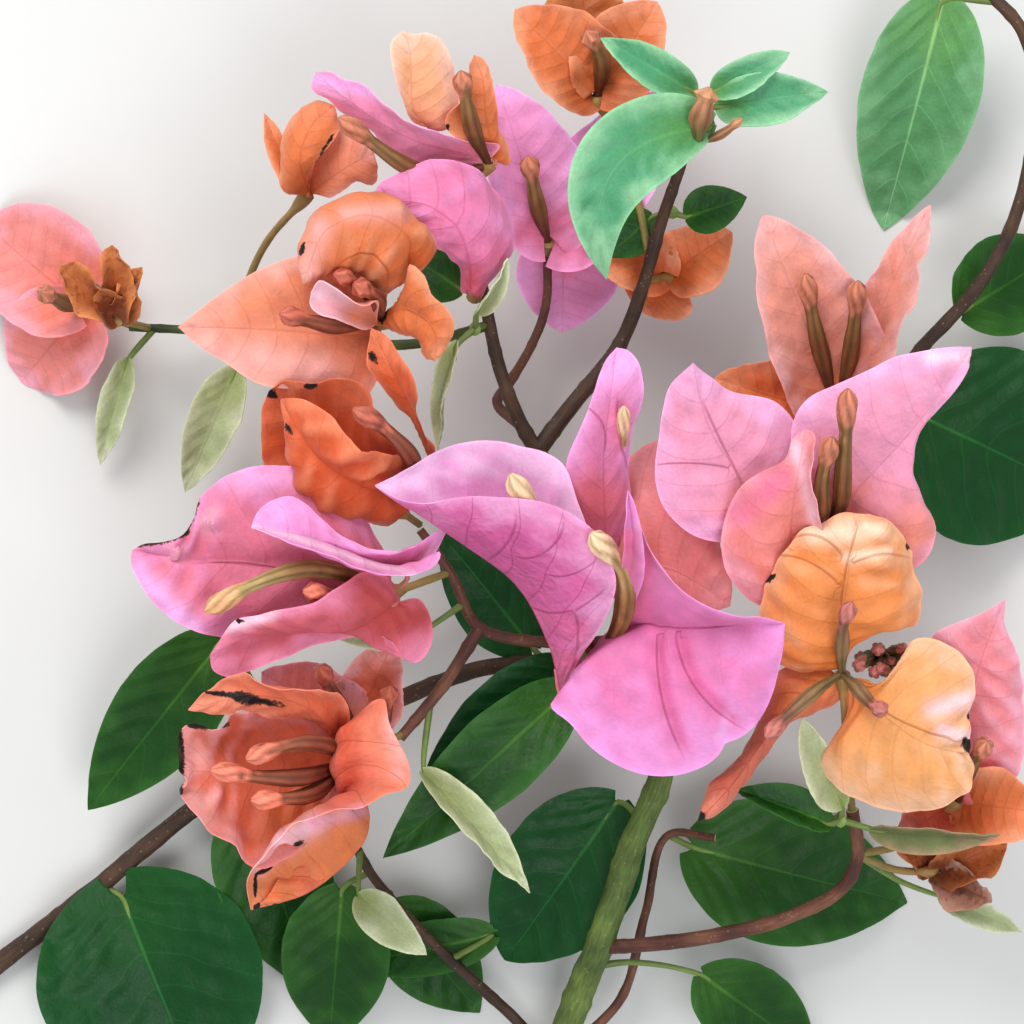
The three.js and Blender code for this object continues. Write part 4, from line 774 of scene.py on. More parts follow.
        harm=[[-61, -36, -54, -36.8, 0.5], [-56, -36.6, -50.6, -37.8, 1.2],
          [-52, -37.4, -45.6, -38.6, 0.6]]),
      dict(spine=[[-33, -50, 52], [-42, -51.4, 52], [-52, -52, 55], [-60, -52, 61], [-66.6, -51.6, 67]],
        left=[[-36, -60], [-44, -68.4], [-51, -71], [-53.6, -69.2], [-57.3, -66.1], [-61, -62.8],
          [-64.7, -59.4], [-66.3, -56.4], [-65.2, -53.8]],
        right=[[-35, -42], [-44, -38.6], [-56.6, -40.6], [-58, -42.8], [-61, -44.3], [-63.6, -42.4],
          [-65.8, -43.2], [-66.4, -46.6]],
        rises=[[50, 56, 60, 64, 67, 69, 69, 68], [56, 60, 64, 66, 67, 68]], bulge=[-0.12, -0.14],
        pleats=[0.6, 7, 0.75, 0.2], tone="coral_orange",
        harm=[[-64.6, -42.6, -57, -42.4, 0.9], [-66.6, -43.6, -66.4, -56.4, 0.9]],
        paint=[[-63.4, -46, -62.6, -51, 2, "blush"], [-63.6, -57, -60, -62, 2.6, "blush"],
          [-48, -64, -42, -58, 4, "orange"]]),
      dict(spine=[[-33, -47.6, 52], [-29.6, -56, 50], [-28.8, -64, 53], [-33.6, -70.6, 56],
          [-41.2, -76.4, 59], [-52.2, -79.6, 62]],
        left=[[-38, -52], [-42, -60], [-44, -67], [-46, -72], [-49, -77]],
        right=[[-31, -41.6], [-28.4, -38], [-25.4, -37.6], [-24.4, -42], [-22.4, -47.2], [-20.4, -51],
          [-20.7, -54.3], [-25.5, -56.9], [-31, -59.3], [-35.2, -59.3], [-40.4, -61.8], [-44.4, -63],
          [-48.4, -67.4], [-51.8, -71.6], [-52.8, -76]],
        rises=[[50, 50, 53, 58, 61], [60, 66, 70, 71, 72, 74, 76, 76, 75, 74, 71, 66]], bulge=[-0.1, -0.34],
        tone="rust",
        paint=[[-50.6, -71, -46, -66, 1.8, "pale"], [-46, -66, -40, -62.6, 2.4, "pale"],
          [-40, -62.4, -30, -59.6, 1.4, "soft"], [-47, -76, -34, -68, 4, "orange"],
          [-33.4, -43, -32, -54, 2.6, "flame"], [-24, -42, -22, -52, 2, "blush"]],
        harm=[[-51.4, -72.4, -48, -71, 0.5], [-51.4, -72.6, -51.4, -77, 0.4],
          [-43.8, -67.2, -41.6, -65.8, 0.7], [-51.6, -79.8, -50.6, -78.4, 0.6],
          [-48, -79, -47, -78.4, 0.5]]),
    ],
    flowers=[[[-42, -53, 66], [-50, -53, 70], [-60, -51.6, 73]],
      [[-38, -46.4, 66], [-44, -46.4, 71], [-53, -49.4, 74]],
      [[-40, -56.4, 64], [-46, -57.4, 69], [-52, -57.6, 71]]],
  ),
  bloom_lower_rear=dict(
    centre=[-31.4, -43, 40], stalk=[[-32.4, -52, 34]], tone="salmon_pink", buds="red",
    bracts=[
      dict(tip=[-50, -32, 47], half=9, fold=14, tone="salmon_pink"),
      dict(tip=[-24, -26.6, 48], half=8, fold=14, tone="coral_orange"),
    ],
    flowers=[[[-35, -38, 50], [-38.4, -31, 58]], [[-26.6, -42.6, 46], [-24.2, -35, 52]]],
  ),
  bloom_small_orange=dict(
    centre=[-41, 63.4, 46], stalk=[[-56.4, 36, 17.9], [-50, 52.4, 30]], tone="orange",
    bracts=[
      dict(spine=[[-41.4, 63.8, 47], [-45, 68.6, 48], [-47.4, 74, 49], [-49.6, 79.8, 50]],
        left=[[-44.4, 63.8], [-48, 69.4], [-49.4, 75.2]],
        right=[[-42.4, 68.4], [-44.6, 72.4], [-47, 77.4]],
        rises=[[48, 50, 51], [47, 48, 49]], bulge=[0.1, 0.1]),
      dict(spine=[[-40.6, 63.4, 48], [-42.4, 70.4, 55], [-40, 77.4, 56], [-35.6, 81.2, 52]],
        left=[[-45.4, 64.4], [-46.4, 69.4], [-45.6, 75.4], [-43.4, 79.4], [-40.4, 81.8], [-38, 82.2]],
        right=[[-40, 66.8], [-39.4, 69.8], [-36.8, 72.8], [-34.6, 76.4], [-34.6, 79.2]],
        rises=[[48, 50, 51, 51, 51], [50, 54, 55, 54, 53]], bulge=[0.16, 0.14],
        harm=[[-39.6, 66, -39, 70.4, 0.35], [-39, 70.4, -35, 76.4, 0.35]]),
      dict(spine=[[-40.4, 63.6, 47], [-35.4, 67.4, 50], [-31.4, 70, 51], [-27.6, 71.6, 49]],
        left=[[-41.6, 66.4], [-40.4, 71.4], [-37, 75.4], [-34, 76.6], [-31.4, 76.4], [-28.8, 74.4]],
        right=[[-38.4, 63.6], [-36.4, 62.8], [-33.4, 64.6], [-31, 66.4], [-27.8, 65.6], [-26.8, 68.8]],
        rises=[[48, 48, 49, 50], [49, 50, 50, 49]], bulge=[0.1, 0.14], tone="two_orange"),
    ],
  ),
  bloom_left_edge=dict(
    centre=[-85.4, 40.8, 12], stalk=[[-75.4, 37, 12.2]], tone="salmon_pink", buds="brown",
    bracts=[
      dict(tip=[-106, 58, -1], half=[13, 14], fold=8),
      dict(tip=[-98, 26, -1], half=[12, 12], fold=8),
    ],
    flowers=[[[-90, 42, 22], [-94, 44, 30]]],
  ),
  bloom_left_dried=dict(
    centre=[-79, 38.4, 24], stalk=[[-72.4, 36.8, 13]], tone="dried",
    bracts=[
      dict(tip=[-90.4, 49.4, 32], half=5, fold=30),
      dict(tip=[-80, 53.4, 32], half=5, fold=30),
      dict(tip=[-74, 49, 30], half=4, fold=30),
    ],
  ),
)

# Leaves: the stalk from its stem to the foot of the blade, and the blade's tip and half width.
LEAVES = dict(
  leaf_middle=dict(stalk=[[27, -25, 42]], foot=[11, -36, 40], tip=[-25.8, -69.2, 41], half=9, tone="leaf"),
  leaf_middle_rear=dict(stalk=[[18, -26, 41]], foot=[11, -31, 35], tip=[-17.4, -52, 33], half=8,
    tone="dark_leaf"),
  leaf_lower_dark=dict(stalk=[[26.4, -62, 32.4]], foot=[21, -58, 24], tip=[-1.4, -89.6, 9], half=15,
    tone="dark_leaf", point=0.8),
  leaf_lower_folded=dict(stalk=[[-16.4, -38.2, 46]], foot=[-17.4, -52.6, 46], tip=[3.6, -76.2, 42],
    half=5.5, roll=-20, fold=45, tone="pale_leaf"),
  leaf_lower_pale=dict(stalk=[[-30.4, -67.6, 28.5]], foot=[-30.4, -77, 33], tip=[-17, -88.6, 36], half=5,
    tone="pale_leaf", fold=20),
  leaf_lower_left_big=dict(stalk=[[-82.4, -74.6, 5.4]], foot=[-78, -77, 6], tip=[-61, -118, -4], half=25,
    tone="dark_leaf", heart=0.12),
  leaf_left_middle=dict(stalk=[[-44.4, -47.6, 14]], foot=[-58, -26, 24], tip=[-84.8, -59.6, 12], half=11,
    tone="leaf"),
  leaf_lower_middle=dict(stalk=[[-28.4, -72, 26]], foot=[-34, -75.6, 17], tip=[-36.4, -106, -1], half=12,
    tone="leaf"),
  leaf_lower_narrow=dict(stalk=[[-12, -89.4, 15.8]], foot=[-4, -84.6, 13], tip=[-35.4, -90.6, 8], half=6,
    tone="leaf"),
  leaf_lower_right=dict(stalk=[[15.6, -91, 19.4], [24, -90, 20]], foot=[38, -92.6, 19], tip=[60, -108, -1],
    half=10, tone="leaf"),
  leaf_lower_rear=dict(stalk=[[31.2, -64.6, 22]], foot=[36, -67, 18], tip=[79, -78, -1], half=16,
    tone="leaf"),
  leaf_lower_low=dict(stalk=[[-24.4, -76.2, 23]], foot=[-24, -79, 10], tip=[-6.4, -100, -1], half=10,
    tone="leaf"),
  leaf_left_low=dict(stalk=[[-54.4, -53.8, 11.4]], foot=[-52, -57, 10], tip=[-40, -96, -2], half=13,
    tone="leaf"),
  leaf_centre_low=dict(stalk=[[6.6, -29.8, 31.8]], foot=[4, -27, 28], tip=[-14.4, -4, 22], half=9,
    tone="dark_leaf"),
  leaf_top_right=dict(stalk=[[97, 102, 23]], foot=[86, 102, 20], tip=[74, 56, -3], half=13,
    tone="sunny_leaf"),
  leaf_right_big=dict(stalk=[[73, 22, 22]], foot=[80, 20, 19], tip=[113, 4, -4], half=22, tone="dark_leaf"),
  leaf_right_small=dict(stalk=[[86.6, 38, 22.6]], foot=[90, 40, 20], tip=[110, 52.4, 6], half=11,
    tone="leaf"),
  leaf_left_cream=dict(stalk=[[-54.4, 36, 18.7]], foot=[-55.4, 28, 19], tip=[-65.4, 4, 14], half=6,
    tone="pale_leaf", fold=20),
  leaf_left_pale=dict(stalk=[[-71.4, 36.8, 13.2]], foot=[-77, 30, 12], tip=[-82.4, 9.4, 6], half=4,
    tone="pale_leaf", fold=30),
  leaf_left_olive=dict(stalk=[[-9.4, -18.2, 47.4]], foot=[-19.4, -24.6, 50], tip=[-35.4, -25, 54], half=3.4,
    tone="pale_leaf", fold=20),
  leaf_right_low=dict(stalk=[[69.2, -68.6, 45], [78, -74, 36]], foot=[86, -77, 36], tip=[102, -84, 34],
    half=3.6, fold=30, tone="pale_leaf"),
  leaf_rear_left=dict(stalk=[[-6.4, 44, 41]], foot=[-10, 44.4, 37], tip=[-22, 52, 31], half=6, tone="leaf"),
)

# Shoots: the stalk from its stem to the bud, the small leaves round the bud, and the closed buds.
SHOOTS = dict(
  shoot_top=dict(
    bud=[38, 81, 58], stalk=[[36.4, 77, 53]],
    tips=[
      [[37.2, 74.8, 62], [37.8, 79.6, 66], [39.4, 84.6, 68]],
      [[37.6, 74, 60], [41.6, 75.4, 63], [46, 78.6, 64]],
    ],
    leaves=[
      dict(foot=[40, 77, 61], tip=[19, 46.4, 58], half=9, sway=0.3, bow=0.16, fold=6, tone="young_leaf"),
      dict(foot=[36, 84, 58], tip=[17.6, 94.8, 59], half=4.6, fold=24, tone="young_leaf"),
      dict(foot=[40.6, 84, 58], tip=[55.6, 92, 61], half=4, fold=24, tone="young_leaf"),
      dict(foot=[41.6, 81, 57], tip=[63.2, 84, 59], half=6, fold=20, tone="young_leaf"),
    ],
  ),
  shoot_top_low=dict(
    bud=[32, 60, 39], stalk=[[30, 58.4, 43.6]],
    leaves=[
      dict(foot=[35, 59, 39], tip=[47, 63, 41], half=5, tone="leaf"),
      dict(foot=[28, 59, 38], tip=[19, 51, 37], half=5, tone="leaf"),
    ],
  ),
  shoot_right=dict(
    bud=[65.6, -61.6, 52.4], stalk=[[68, -61.6, 48]],
    leaves=[
      dict(foot=[63, -62.6, 52], tip=[44.6, -55.6, 54], half=5, roll=30, fold=30, tone="leaf"),
      dict(foot=[72.6, -63.6, 53], tip=[97.6, -64.6, 60], half=4, roll=30, fold=30, tone="olive_leaf"),
      dict(foot=[66, -58.4, 54], tip=[58, -41, 59], half=[6, 3], fold=30, tone="pale_leaf"),
    ],
  ),
  shoot_upper_left=dict(
    bud=[-7.4, 36.6, 45], stalk=[[-5, 37.4, 41]],
    leaves=[
      dict(foot=[-11, 33.4, 45], tip=[-14.8, 12.4, 43], half=3, roll=40, fold=40, tone="pale_leaf"),
      dict(foot=[-7, 40, 48], tip=[-0.8, 50.8, 55], half=3, roll=40, fold=40, tone="pale_leaf"),
    ],
  ),
)


def linear(colour):
    """A screen colour as the light that it stands for."""
    colour = np.asarray(colour, float)
    return np.where(colour <= 0.04045, colour / 12.92, ((colour + 0.055) / 1.055) ** 2.4)


def smooth(low, high, value):
    """A smooth step from 0 to 1 while value goes from low to high."""
    share = np.clip((value - low) / (high - low), 0, 1)
    return share * share * (3 - 2 * share)


def mixed(one, other, share):
    return one + (other - one) * share[..., None]


def unit(vectors):
    return vectors / np.maximum(np.linalg.norm(vectors, axis=-1, keepdims=True), LEAST_LENGTH)


def pair(value):
    return value if isinstance(value, list) else [value, value]


def seen(places):
    """Where places in the tables really are."""
    places = np.asarray(places, float)
    spread = (EYE_HEIGHT - places[..., 2:]) / (EYE_HEIGHT - TRUE_HEIGHT)
    return np.concatenate([places[..., :2] * spread, places[..., 2:]], axis=-1)


def looks(places):
    """Where real places look to be in the tables, without their height."""
    return places[..., :2] * (EYE_HEIGHT - TRUE_HEIGHT) / (EYE_HEIGHT - places[..., 2:])


def bumps(places, size, seed, octaves=3):
    """A smooth uneven field over places, about -1 to 1, whose largest bumps are size across."""
    random = np.random.default_rng(seed)
    field = np.zeros(places.shape[:-1])
    for octave in range(octaves):
        ways = unit(random.normal(size=(OCTAVE_WAVES, places.shape[-1]))) * TURN * 2 ** octave / size
        starts = random.uniform(0, TURN, OCTAVE_WAVES)
        field += np.sin(places @ ways.T + starts).sum(-1) / OCTAVE_FALL ** (octave + 1)
    return field / FIELD_SPREAD


def along(points):
    """How far along a line each of its points is."""
    return np.concatenate([[0], np.cumsum(np.linalg.norm(np.diff(points, axis=0), axis=1))])


def curve(points):
    """A smooth curve through the points, as a function from shares of its length to places."""
    points = np.asarray(points, float)
    points = np.vstack([2 * points[0] - points[1], points, 2 * points[-1] - points[-2]])
    steps = np.linspace(0, 1, CURVE_STEPS, endpoint=False)[:, None]
    run = []
    for a, b, c, d in zip(points, points[1:], points[2:], points[3:]):
        gaps = (np.linalg.norm(q - p) for p, q in ((a, b), (b, c), (c, d)))
        before, here, after = (max(gap, LEAST_GAP) ** 0.5 for gap in gaps)
        start = here * ((b - a) / before - (c - a) / (before + here)) + (c - b)
        finish = here * ((d - c) / after - (d - b) / (here + after)) + (c - b)
        run.append(b + start * steps + (3 * (c - b) - 2 * start - finish) * steps ** 2
                   + (2 * (b - c) + start + finish) * steps ** 3)
    run = np.vstack([*run, points[-2:-1]])
    gone = along(run)

    def place_at(shares):
        return np.stack([np.interp(shares * gone[-1], gone, axis) for axis in run.T], axis=-1)

    return place_at, gone[-1]


def rings(centres, radii):
    """Rings of places round a line of centres. radii holds a radius for each place of each ring."""
    ahead = unit(np.gradient(centres, axis=0))
    normal = unit(np.cross(ahead[0], ANY_WAY))
    normals = []
    for way in ahead:
        normal = unit(normal - way * (normal @ way))
        normals.append(normal)
    normals = np.array(normals)[:, None]
    sides = np.cross(ahead[:, None], normals)
    turn = np.linspace(0, TURN, radii.shape[1], endpoint=False)[None, :, None]
    return centres[:, None] + radii[..., None] * (normals * np.cos(turn) + sides * np.sin(turn))


class Form:
    """The skins that make up one piece: their places and faces, and what the finish reads there."""

    def __init__(self):
        self.places, self.faces, self.finishes = [], [], []
        self.layers = dict(tint=[], span=[], veins=[], drawn=[])

    def skin(self, places, layers, flat=False, finish=0, ends=None):
        """A closed skin through rings of places, with the layers of values that its finish reads.

        flat closes its ends like the edge of a sheet. ends is the finish of its two ends, where they
        have one of their own.
        """
        count, around = places.shape[:2]
        first = sum(len(part) for part in self.places)
        ids = first + np.arange(count * around).reshape(count, around)
        after = np.roll(ids, -1, axis=1)
        faces = np.stack([ids[:-1], ids[1:], after[1:], after[:-1]], axis=-1).reshape(-1, 4).tolist()
        if flat:
            half = around // 2
            for ring, way in ((ids[0], 1), (ids[-1], -1)):
                there, back = ring[:half], ring[:half - 1:-1]
                faces += np.stack([there[:-1], there[1:], back[1:], back[:-1]], axis=-1)[:, ::way].tolist()
        else:
            faces += [ids[0].tolist(), ids[-1, ::-1].tolist()]
        self.faces += faces
        self.finishes += [finish] * (len(faces) - 2) + [finish if ends is None else ends] * 2
        self.places.append(places.reshape(-1, 3))
        for name, kept in self.layers.items():
            kept.append(layers.get(name, np.zeros((count, around, 4))).reshape(-1, 4))

    def piece(self, name, materials, slot, node):
        """The mesh of the form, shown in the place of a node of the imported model."""
        mesh = bpy.data.meshes.new(name)
        places = (np.vstack(self.places) - MIDDLE) * METRES
        mesh.from_pydata(places.tolist(), [], self.faces)
        for label, values in self.layers.items():
            attribute = mesh.color_attributes.new(name=label, type="FLOAT_COLOR", domain="POINT")
            attribute.data.foreach_set("color", np.vstack(values).astype(np.float32).ravel())
        for material in materials:
            mesh.materials.append(material)
        mesh.polygons.foreach_set("material_index", self.finishes)
        mesh.polygons.foreach_set("use_smooth", [True] * len(self.faces))
        mesh.set_sharp_from_angle(angle=SHARP_ANGLE)
        piece = bpy.data.objects.new(name, mesh)
        bpy.context.scene.collection.objects.link(piece)
        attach(piece, "root")
        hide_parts(node)


def outline(u, blade):
    """The width of a blade along its midrib: round at the foot, and pointed at the tip."""
    widest = blade["shoulder"] / (blade["shoulder"] + blade["point"])
    share = np.clip(u, 0, 1)
    return (share / widest) ** blade["shoulder"] * ((1 - share) / (1 - widest)) ** blade["point"]


def sized_surface(blade):
    """The middle surface of a blade given by its size, fold and curl, as in the model's own source."""
    foot, tip = seen(blade["foot"]), seen(blade["tip"])
    length = np.linalg.norm(tip - foot)
    onward = (tip - foot) / length
    face = unit(np.array([0, 0, 1.0]) - onward * onward[2])
    roll = math.radians(blade["roll"])
    face = face * math.cos(roll) + np.cross(onward, face) * math.sin(roll)
    side = np.cross(onward, face)
    halves = pair(blade["half"])
    fold = math.radians(blade["fold"])

    def midrib(u):
        lift = 4 * length * u * (1 - u)
        return foot + onward * length * u + (face * blade["bow"] + side * blade["sway"]) * lift

    def surface(u, v):
        u, v = u[:, None, None], v[None, :, None]
        ahead = unit(midrib(u + NUDGE) - midrib(u - NUDGE))
        up = unit(face - ahead * (ahead @ face)[..., None])
        out = np.cross(ahead, up)
        half = np.take(halves, (v >= 0).astype(int))
        reach = np.abs(v) * half * outline(u, blade)
        bend = math.radians(blade["curl"]) / half
        across = (np.sin(fold + bend * reach) - math.sin(fold)) / bend
        rise = (math.cos(fold) - np.cos(fold + bend * reach)) / bend
        back = blade["heart"] * length * v * v * (1 - np.clip(u, 0, 1)) ** 3
        return midrib(u) + out * np.sign(v) * across + up * rise - onward * back

    return surface, length, max(halves) * 2


def drawn_surface(blade):
    """The middle surface of a blade given by its midrib and its two margins."""
    spine, length = curve(seen(blade["spine"]))
    foot, tip = blade["spine"][0], blade["spine"][-1]
    margins = []
    for margin, rises in zip((blade["left"], blade["right"]), blade["rises"]):
        heights = [foot[2], *rises, tip[2]]
        points = np.array([foot[:2], *margin, tip[:2]])
        gone = along(points)
        height = np.interp(gone / gone[-1], np.linspace(0, 1, len(heights)), heights)
        margins.append(curve(seen(np.column_stack([points, height])))[0])
    shares = np.linspace(0, 1, MEASURING_STEPS)
    middle = spine(shares)
    width = sum(np.linalg.norm(margin(shares) - middle, axis=1).max() for margin in margins)

    def surface(u, v):
        rib = spine(u)[:, None]
        ahead = unit(np.gradient(spine(np.clip(u, 0, 1)), axis=0))[:, None]
        share = np.abs(v)[None, :, None]
        sheets = []
        for margin, hand, bulge in zip(margins, (-1, 1), blade["bulge"]):
            reach = margin(u)[:, None] - rib
            face = unit(np.cross(reach * hand, ahead))
            lift = bulge * np.linalg.norm(reach, axis=-1, keepdims=True) * np.sin(math.pi * share)
            sheets.append(rib + reach * share + face * lift)
        return np.where(v[None, :, None] < 0, *sheets)

    return surface, length, width


def blade_surface(blade):
    """The middle surface of a blade, its length and its width."""
    return drawn_surface(blade) if "spine" in blade else sized_surface(blade)


def blade_grid(surface, length, width):
    """The shares of its length and of its half widths at which a blade is modelled."""
    edges = surface(np.linspace(NUDGE, 1 - NUDGE, MARGIN_STEPS), np.array([-1.0, 1.0]))
    longest = max(length, *np.linalg.norm(np.diff(edges, axis=0), axis=2).sum(0))
    rows = int(np.clip(longest / BLADE_STEP, *BLADE_ROWS))
    columns = 2 * int(np.clip(width / BLADE_STEP / 2, *HALF_BLADE_COLUMNS)) + 1
    u = np.clip(0.5 - 0.5 * np.cos(np.linspace(0, math.pi, rows)), *BLADE_ENDS)
    return u, np.linspace(-1, 1, columns)


def near(places, x0, y0, x1, y1):
    """How far each place looks to be from a line, and the share of the line that is passed there."""
    start, run = np.array([x0, y0]), np.array([x1 - x0, y1 - y0])
    flat = looks(places)
    share = np.clip((flat - start) @ run / (run @ run), 0, 1)
    return np.linalg.norm(flat - start - share[..., None] * run, axis=-1), share


def harm_at(places, marks):
    """How badly a blade is harmed at each place: 1 along its marks, and 0 away from them."""
    harm = np.zeros(places.shape[:-1])
    for *line, width in marks:
        away, share = near(places, *line)
        reach = 2 * width * (HARM_ENDS + HARM_MIDDLE * share * (1 - share))
        harm = np.maximum(harm, 1 - away / reach)
    return harm


def sprayed(places, tint, sprays, uneven):
    """The tint with the colours that are sprayed along lines laid over it."""
    for *line, width, name in sprays:
        away, _ = near(places, *line)
        thick = np.exp(-((away / width) ** 2)) * (1 - SPRAY_PATCHES + SPRAY_PATCHES * uneven)
        tint = mixed(tint, linear(SPRAYS[name]), np.clip(SPRAY_MOST * thick, 0, 1))
    return tint


def arc_from(places, x0, y0, x1, y1, x2, y2):
    """Which way and how far each place looks to be from an arc, and how much of it runs beside it."""
    start, by, end = np.array([x0, y0]), np.array([x1 - x0, y1 - y0]), np.array([x2 - x0, y2 - y0])
    centre = np.linalg.solve(2 * np.array([by, end]), [by @ by, end @ end])
    flat = looks(places) - start
    away = np.linalg.norm(flat - centre, axis=-1) - np.linalg.norm(centre)
    share = (flat @ end) / (end @ end)
    beside = smooth(-LINE_FADE, LINE_FADE, share) * smooth(-LINE_FADE, LINE_FADE, 1 - share)
    return away, beside * (np.linalg.norm(flat - end / 2, axis=-1) < np.linalg.norm(end))


def folds_at(places, folds):
    """How deep each place lies in the folds that are drawn on a blade, and how far into them."""
    depth = np.zeros(places.shape[:-1])
    inside = np.zeros(places.shape[:-1])
    for *arc, width, most in folds:
        away, beside = arc_from(places, *arc)
        here = np.exp(-((away / width) ** 2)) * beside
        depth += most * here
        inside = np.maximum(inside, here * (most > 0))
    return depth, inside


def lines_at(places, blade):
    """How far each place is from the nearest line on a blade, and how clear it is.

    The lines are those that are drawn on it and those at the bottom of its folds.
    """
    nearest = np.full(places.shape[:-1], LINE_REACH)
    clear = np.zeros(places.shape[:-1])
    for arc in [*(arc for *arc, _, most in blade["folds"] if most > 0), *blade["lines"]]:
        away, beside = arc_from(places, *arc)
        here = np.exp(-((away / LINE_REACH) ** 2)) * beside
        nearest = np.where(here > clear, away, nearest)
        clear = np.maximum(here, clear)
    return nearest, clear


def pleats_at(places, pleats, u, v, seed):
    """How high each place stands in the small folds across a blade, as a share of their height."""
    count, middle, reach = pleats
    here = np.exp(-((u - middle) / reach) ** 2) * smooth(*PLEATS_BEGIN, np.abs(v))
    stray, size = PLEAT_STRAY
    turn = TURN * count * u + PLEAT_LEAN * v + stray * bumps(places, size, seed + PLEAT_SEED, 1)
    patches, size = PLEAT_PATCHES
    height = PLEAT_MEAN + patches * bumps(places, size, seed + PLEAT_PATCH_SEED, 1)
    return here * np.sin(turn) * height


def lift_at(places, blade, creases, u, v, phase, length, seed):
    """How far each place of a blade is lifted off its middle surface, without its pleats."""
    panel, crumple, wave = np.array(creases) * (DRAWN_CREASES if "spine" in blade else 1)
    panel *= min(1, max(blade["shown"]) / VEINS_SHOWN[1])
    share = np.abs(v)
    panels = -panel * np.cos(TURN * phase) * smooth(*PANELS_BEGIN, share)
    lift = panels * (1 - PANEL_FLATTENING * share ** 4)
    crumples = MIDDLE_CRUMPLE + (1 - MIDDLE_CRUMPLE) * share
    lift = lift + crumple * bumps(places, CRUMPLE_SIZE, seed) * crumples
    edge = u * length / WAVE_LENGTH + seed * WAVE_SHIFT + np.sign(v) * SIDE_SHIFT
    waves = np.sin(TURN * edge) + RIPPLE * np.sin(TURN * RIPPLE_RATE * edge + 1)
    return lift + wave * share ** 3 * waves


def blade_tints(places, blade, colours, u, share, creased, pleat_light_and_shade, seed):
    """The tints of the upper and the lower side of a blade, with its harm in their last value."""
    uneven = bumps(places, PATCH_SIZE, seed + PATCH_SEED)
    foot, body, margin, under = (linear(colour) for colour in colours)
    outward = np.maximum(share, (u - TIP_COLOUR_FROM) / (1 - TIP_COLOUR_FROM))
    outer = smooth(*MARGIN_COLOUR, outward + MARGIN_PATCHES * uneven)
    # Painted highlight on the crests of the pleats, and painted shade in their troughs.
    outer = np.clip(outer + PLEAT_CREST_PAINTED_LIGHT * pleat_light_and_shade, 0, 1)
    inner = 1 - smooth(*FOOT_COLOUR, u + FOOT_SLANT * share + FOOT_PATCHES * uneven)
    # Painted shade: the foot's deeper colour laid into the folds.
    inner = np.maximum(inner, FOLD_PAINTED_SHADE * creased)
    above = mixed(mixed(body, margin, outer), foot, inner * FOOT_ABOVE)
    below = mixed(mixed(under, margin, outer * MARGIN_BELOW), foot, inner * FOOT_BELOW)
    speckle, size = SPECKLE
    bright = 1 + speckle * bumps(places, size, seed + SPECKLE_SEED)
    bright = bright + BRIGHT_RIM * smooth(*BRIGHT_RIM_BEGINS, share)
    harm = harm_at(places, blade["harm"])[..., None]
    tints = (sprayed(places, tint, blade["paint"], uneven) * bright[..., None] for tint in (above, below))
    return [np.concatenate([tint, harm], axis=-1) for tint in tints]


def facing(places):
    """Which way a sheet of places faces, at each of them."""
    return unit(np.cross(np.gradient(places, axis=1), np.gradient(places, axis=0)))


def layer(*values):
    """One layer of values for a finish to read, from single values or arrays of them."""
    return np.stack(np.broadcast_arrays(*values), axis=-1)


def both_sides(above, below):
    """Rings that run over the upper side of a sheet and back under it."""
    return np.concatenate([above, below[:, ::-1]], axis=1)


def blade_skin(form, blade, colours, creases, seed, finish=0):
    """A bract or a leaf: a thin sheet with its veins' panels bulging and its margins waving."""
    surface, length, width = blade_surface(blade)
    u, v = blade_grid(surface, length, width)
    middle = surface(u, v)
    rib = len(v) // 2
    u, v = u[:, None], v[None, :]
    share = np.abs(v)

    stray, size = VEIN_STRAY
    phase = blade["pairs"] * (u - blade["slant"] * share ** VEIN_BEND * (VEIN_SPREAD - u))
    phase = phase + stray * bumps(middle, size, seed + VEIN_SEED, 2)
    lift = lift_at(middle, blade, creases, u, v, phase, length, seed)
    pleat_light_and_shade = np.zeros_like(lift)
    if "pleats" in blade:
        height, *pleats = blade["pleats"]
        pleat = pleats_at(middle, pleats, u, v, seed)
        lift = lift + height * pleat
        # The pleats' height, for painted highlight on their crests and painted shade in their troughs.
        pleat_light_and_shade = np.clip(pleat, *PLEAT_SHADE_AND_HIGHLIGHT_RANGE)
    depth, creased = folds_at(middle, blade["folds"])
    nearest, clear = lines_at(middle, blade)
    still = smooth(*STILL_ENDS, np.minimum(u, 1 - u))
    middle = middle + facing(middle) * (lift * still - depth)[..., None]
    middle[..., 2] = np.maximum(middle[..., 2], REST_HEIGHT)
    thickness = blade["thickness"] * (1 - RIM_THINNING * smooth(*RIM_BEGINS, share))
    offset = facing(middle) * thickness[..., None] / 2

    above, below = blade_tints(middle, blade, colours, u, share, creased, pleat_light_and_shade, seed)
    across = np.linalg.norm(middle - middle[:, rib][:, None], axis=-1) * np.sign(v)
    spans = [layer(u * length + NOISE_APART * seed, across, 0, shown) for shown in blade["shown"]]
    veins = layer(phase, share, length / blade["pairs"], u)
    drawn = layer(nearest, clear, 0, 1)
    layers = dict(tint=both_sides(above, below), span=both_sides(*spans), veins=both_sides(veins, veins),
                  drawn=both_sides(drawn, drawn))
    form.skin(both_sides(middle + offset, middle - offset), layers, flat=True, finish=finish)


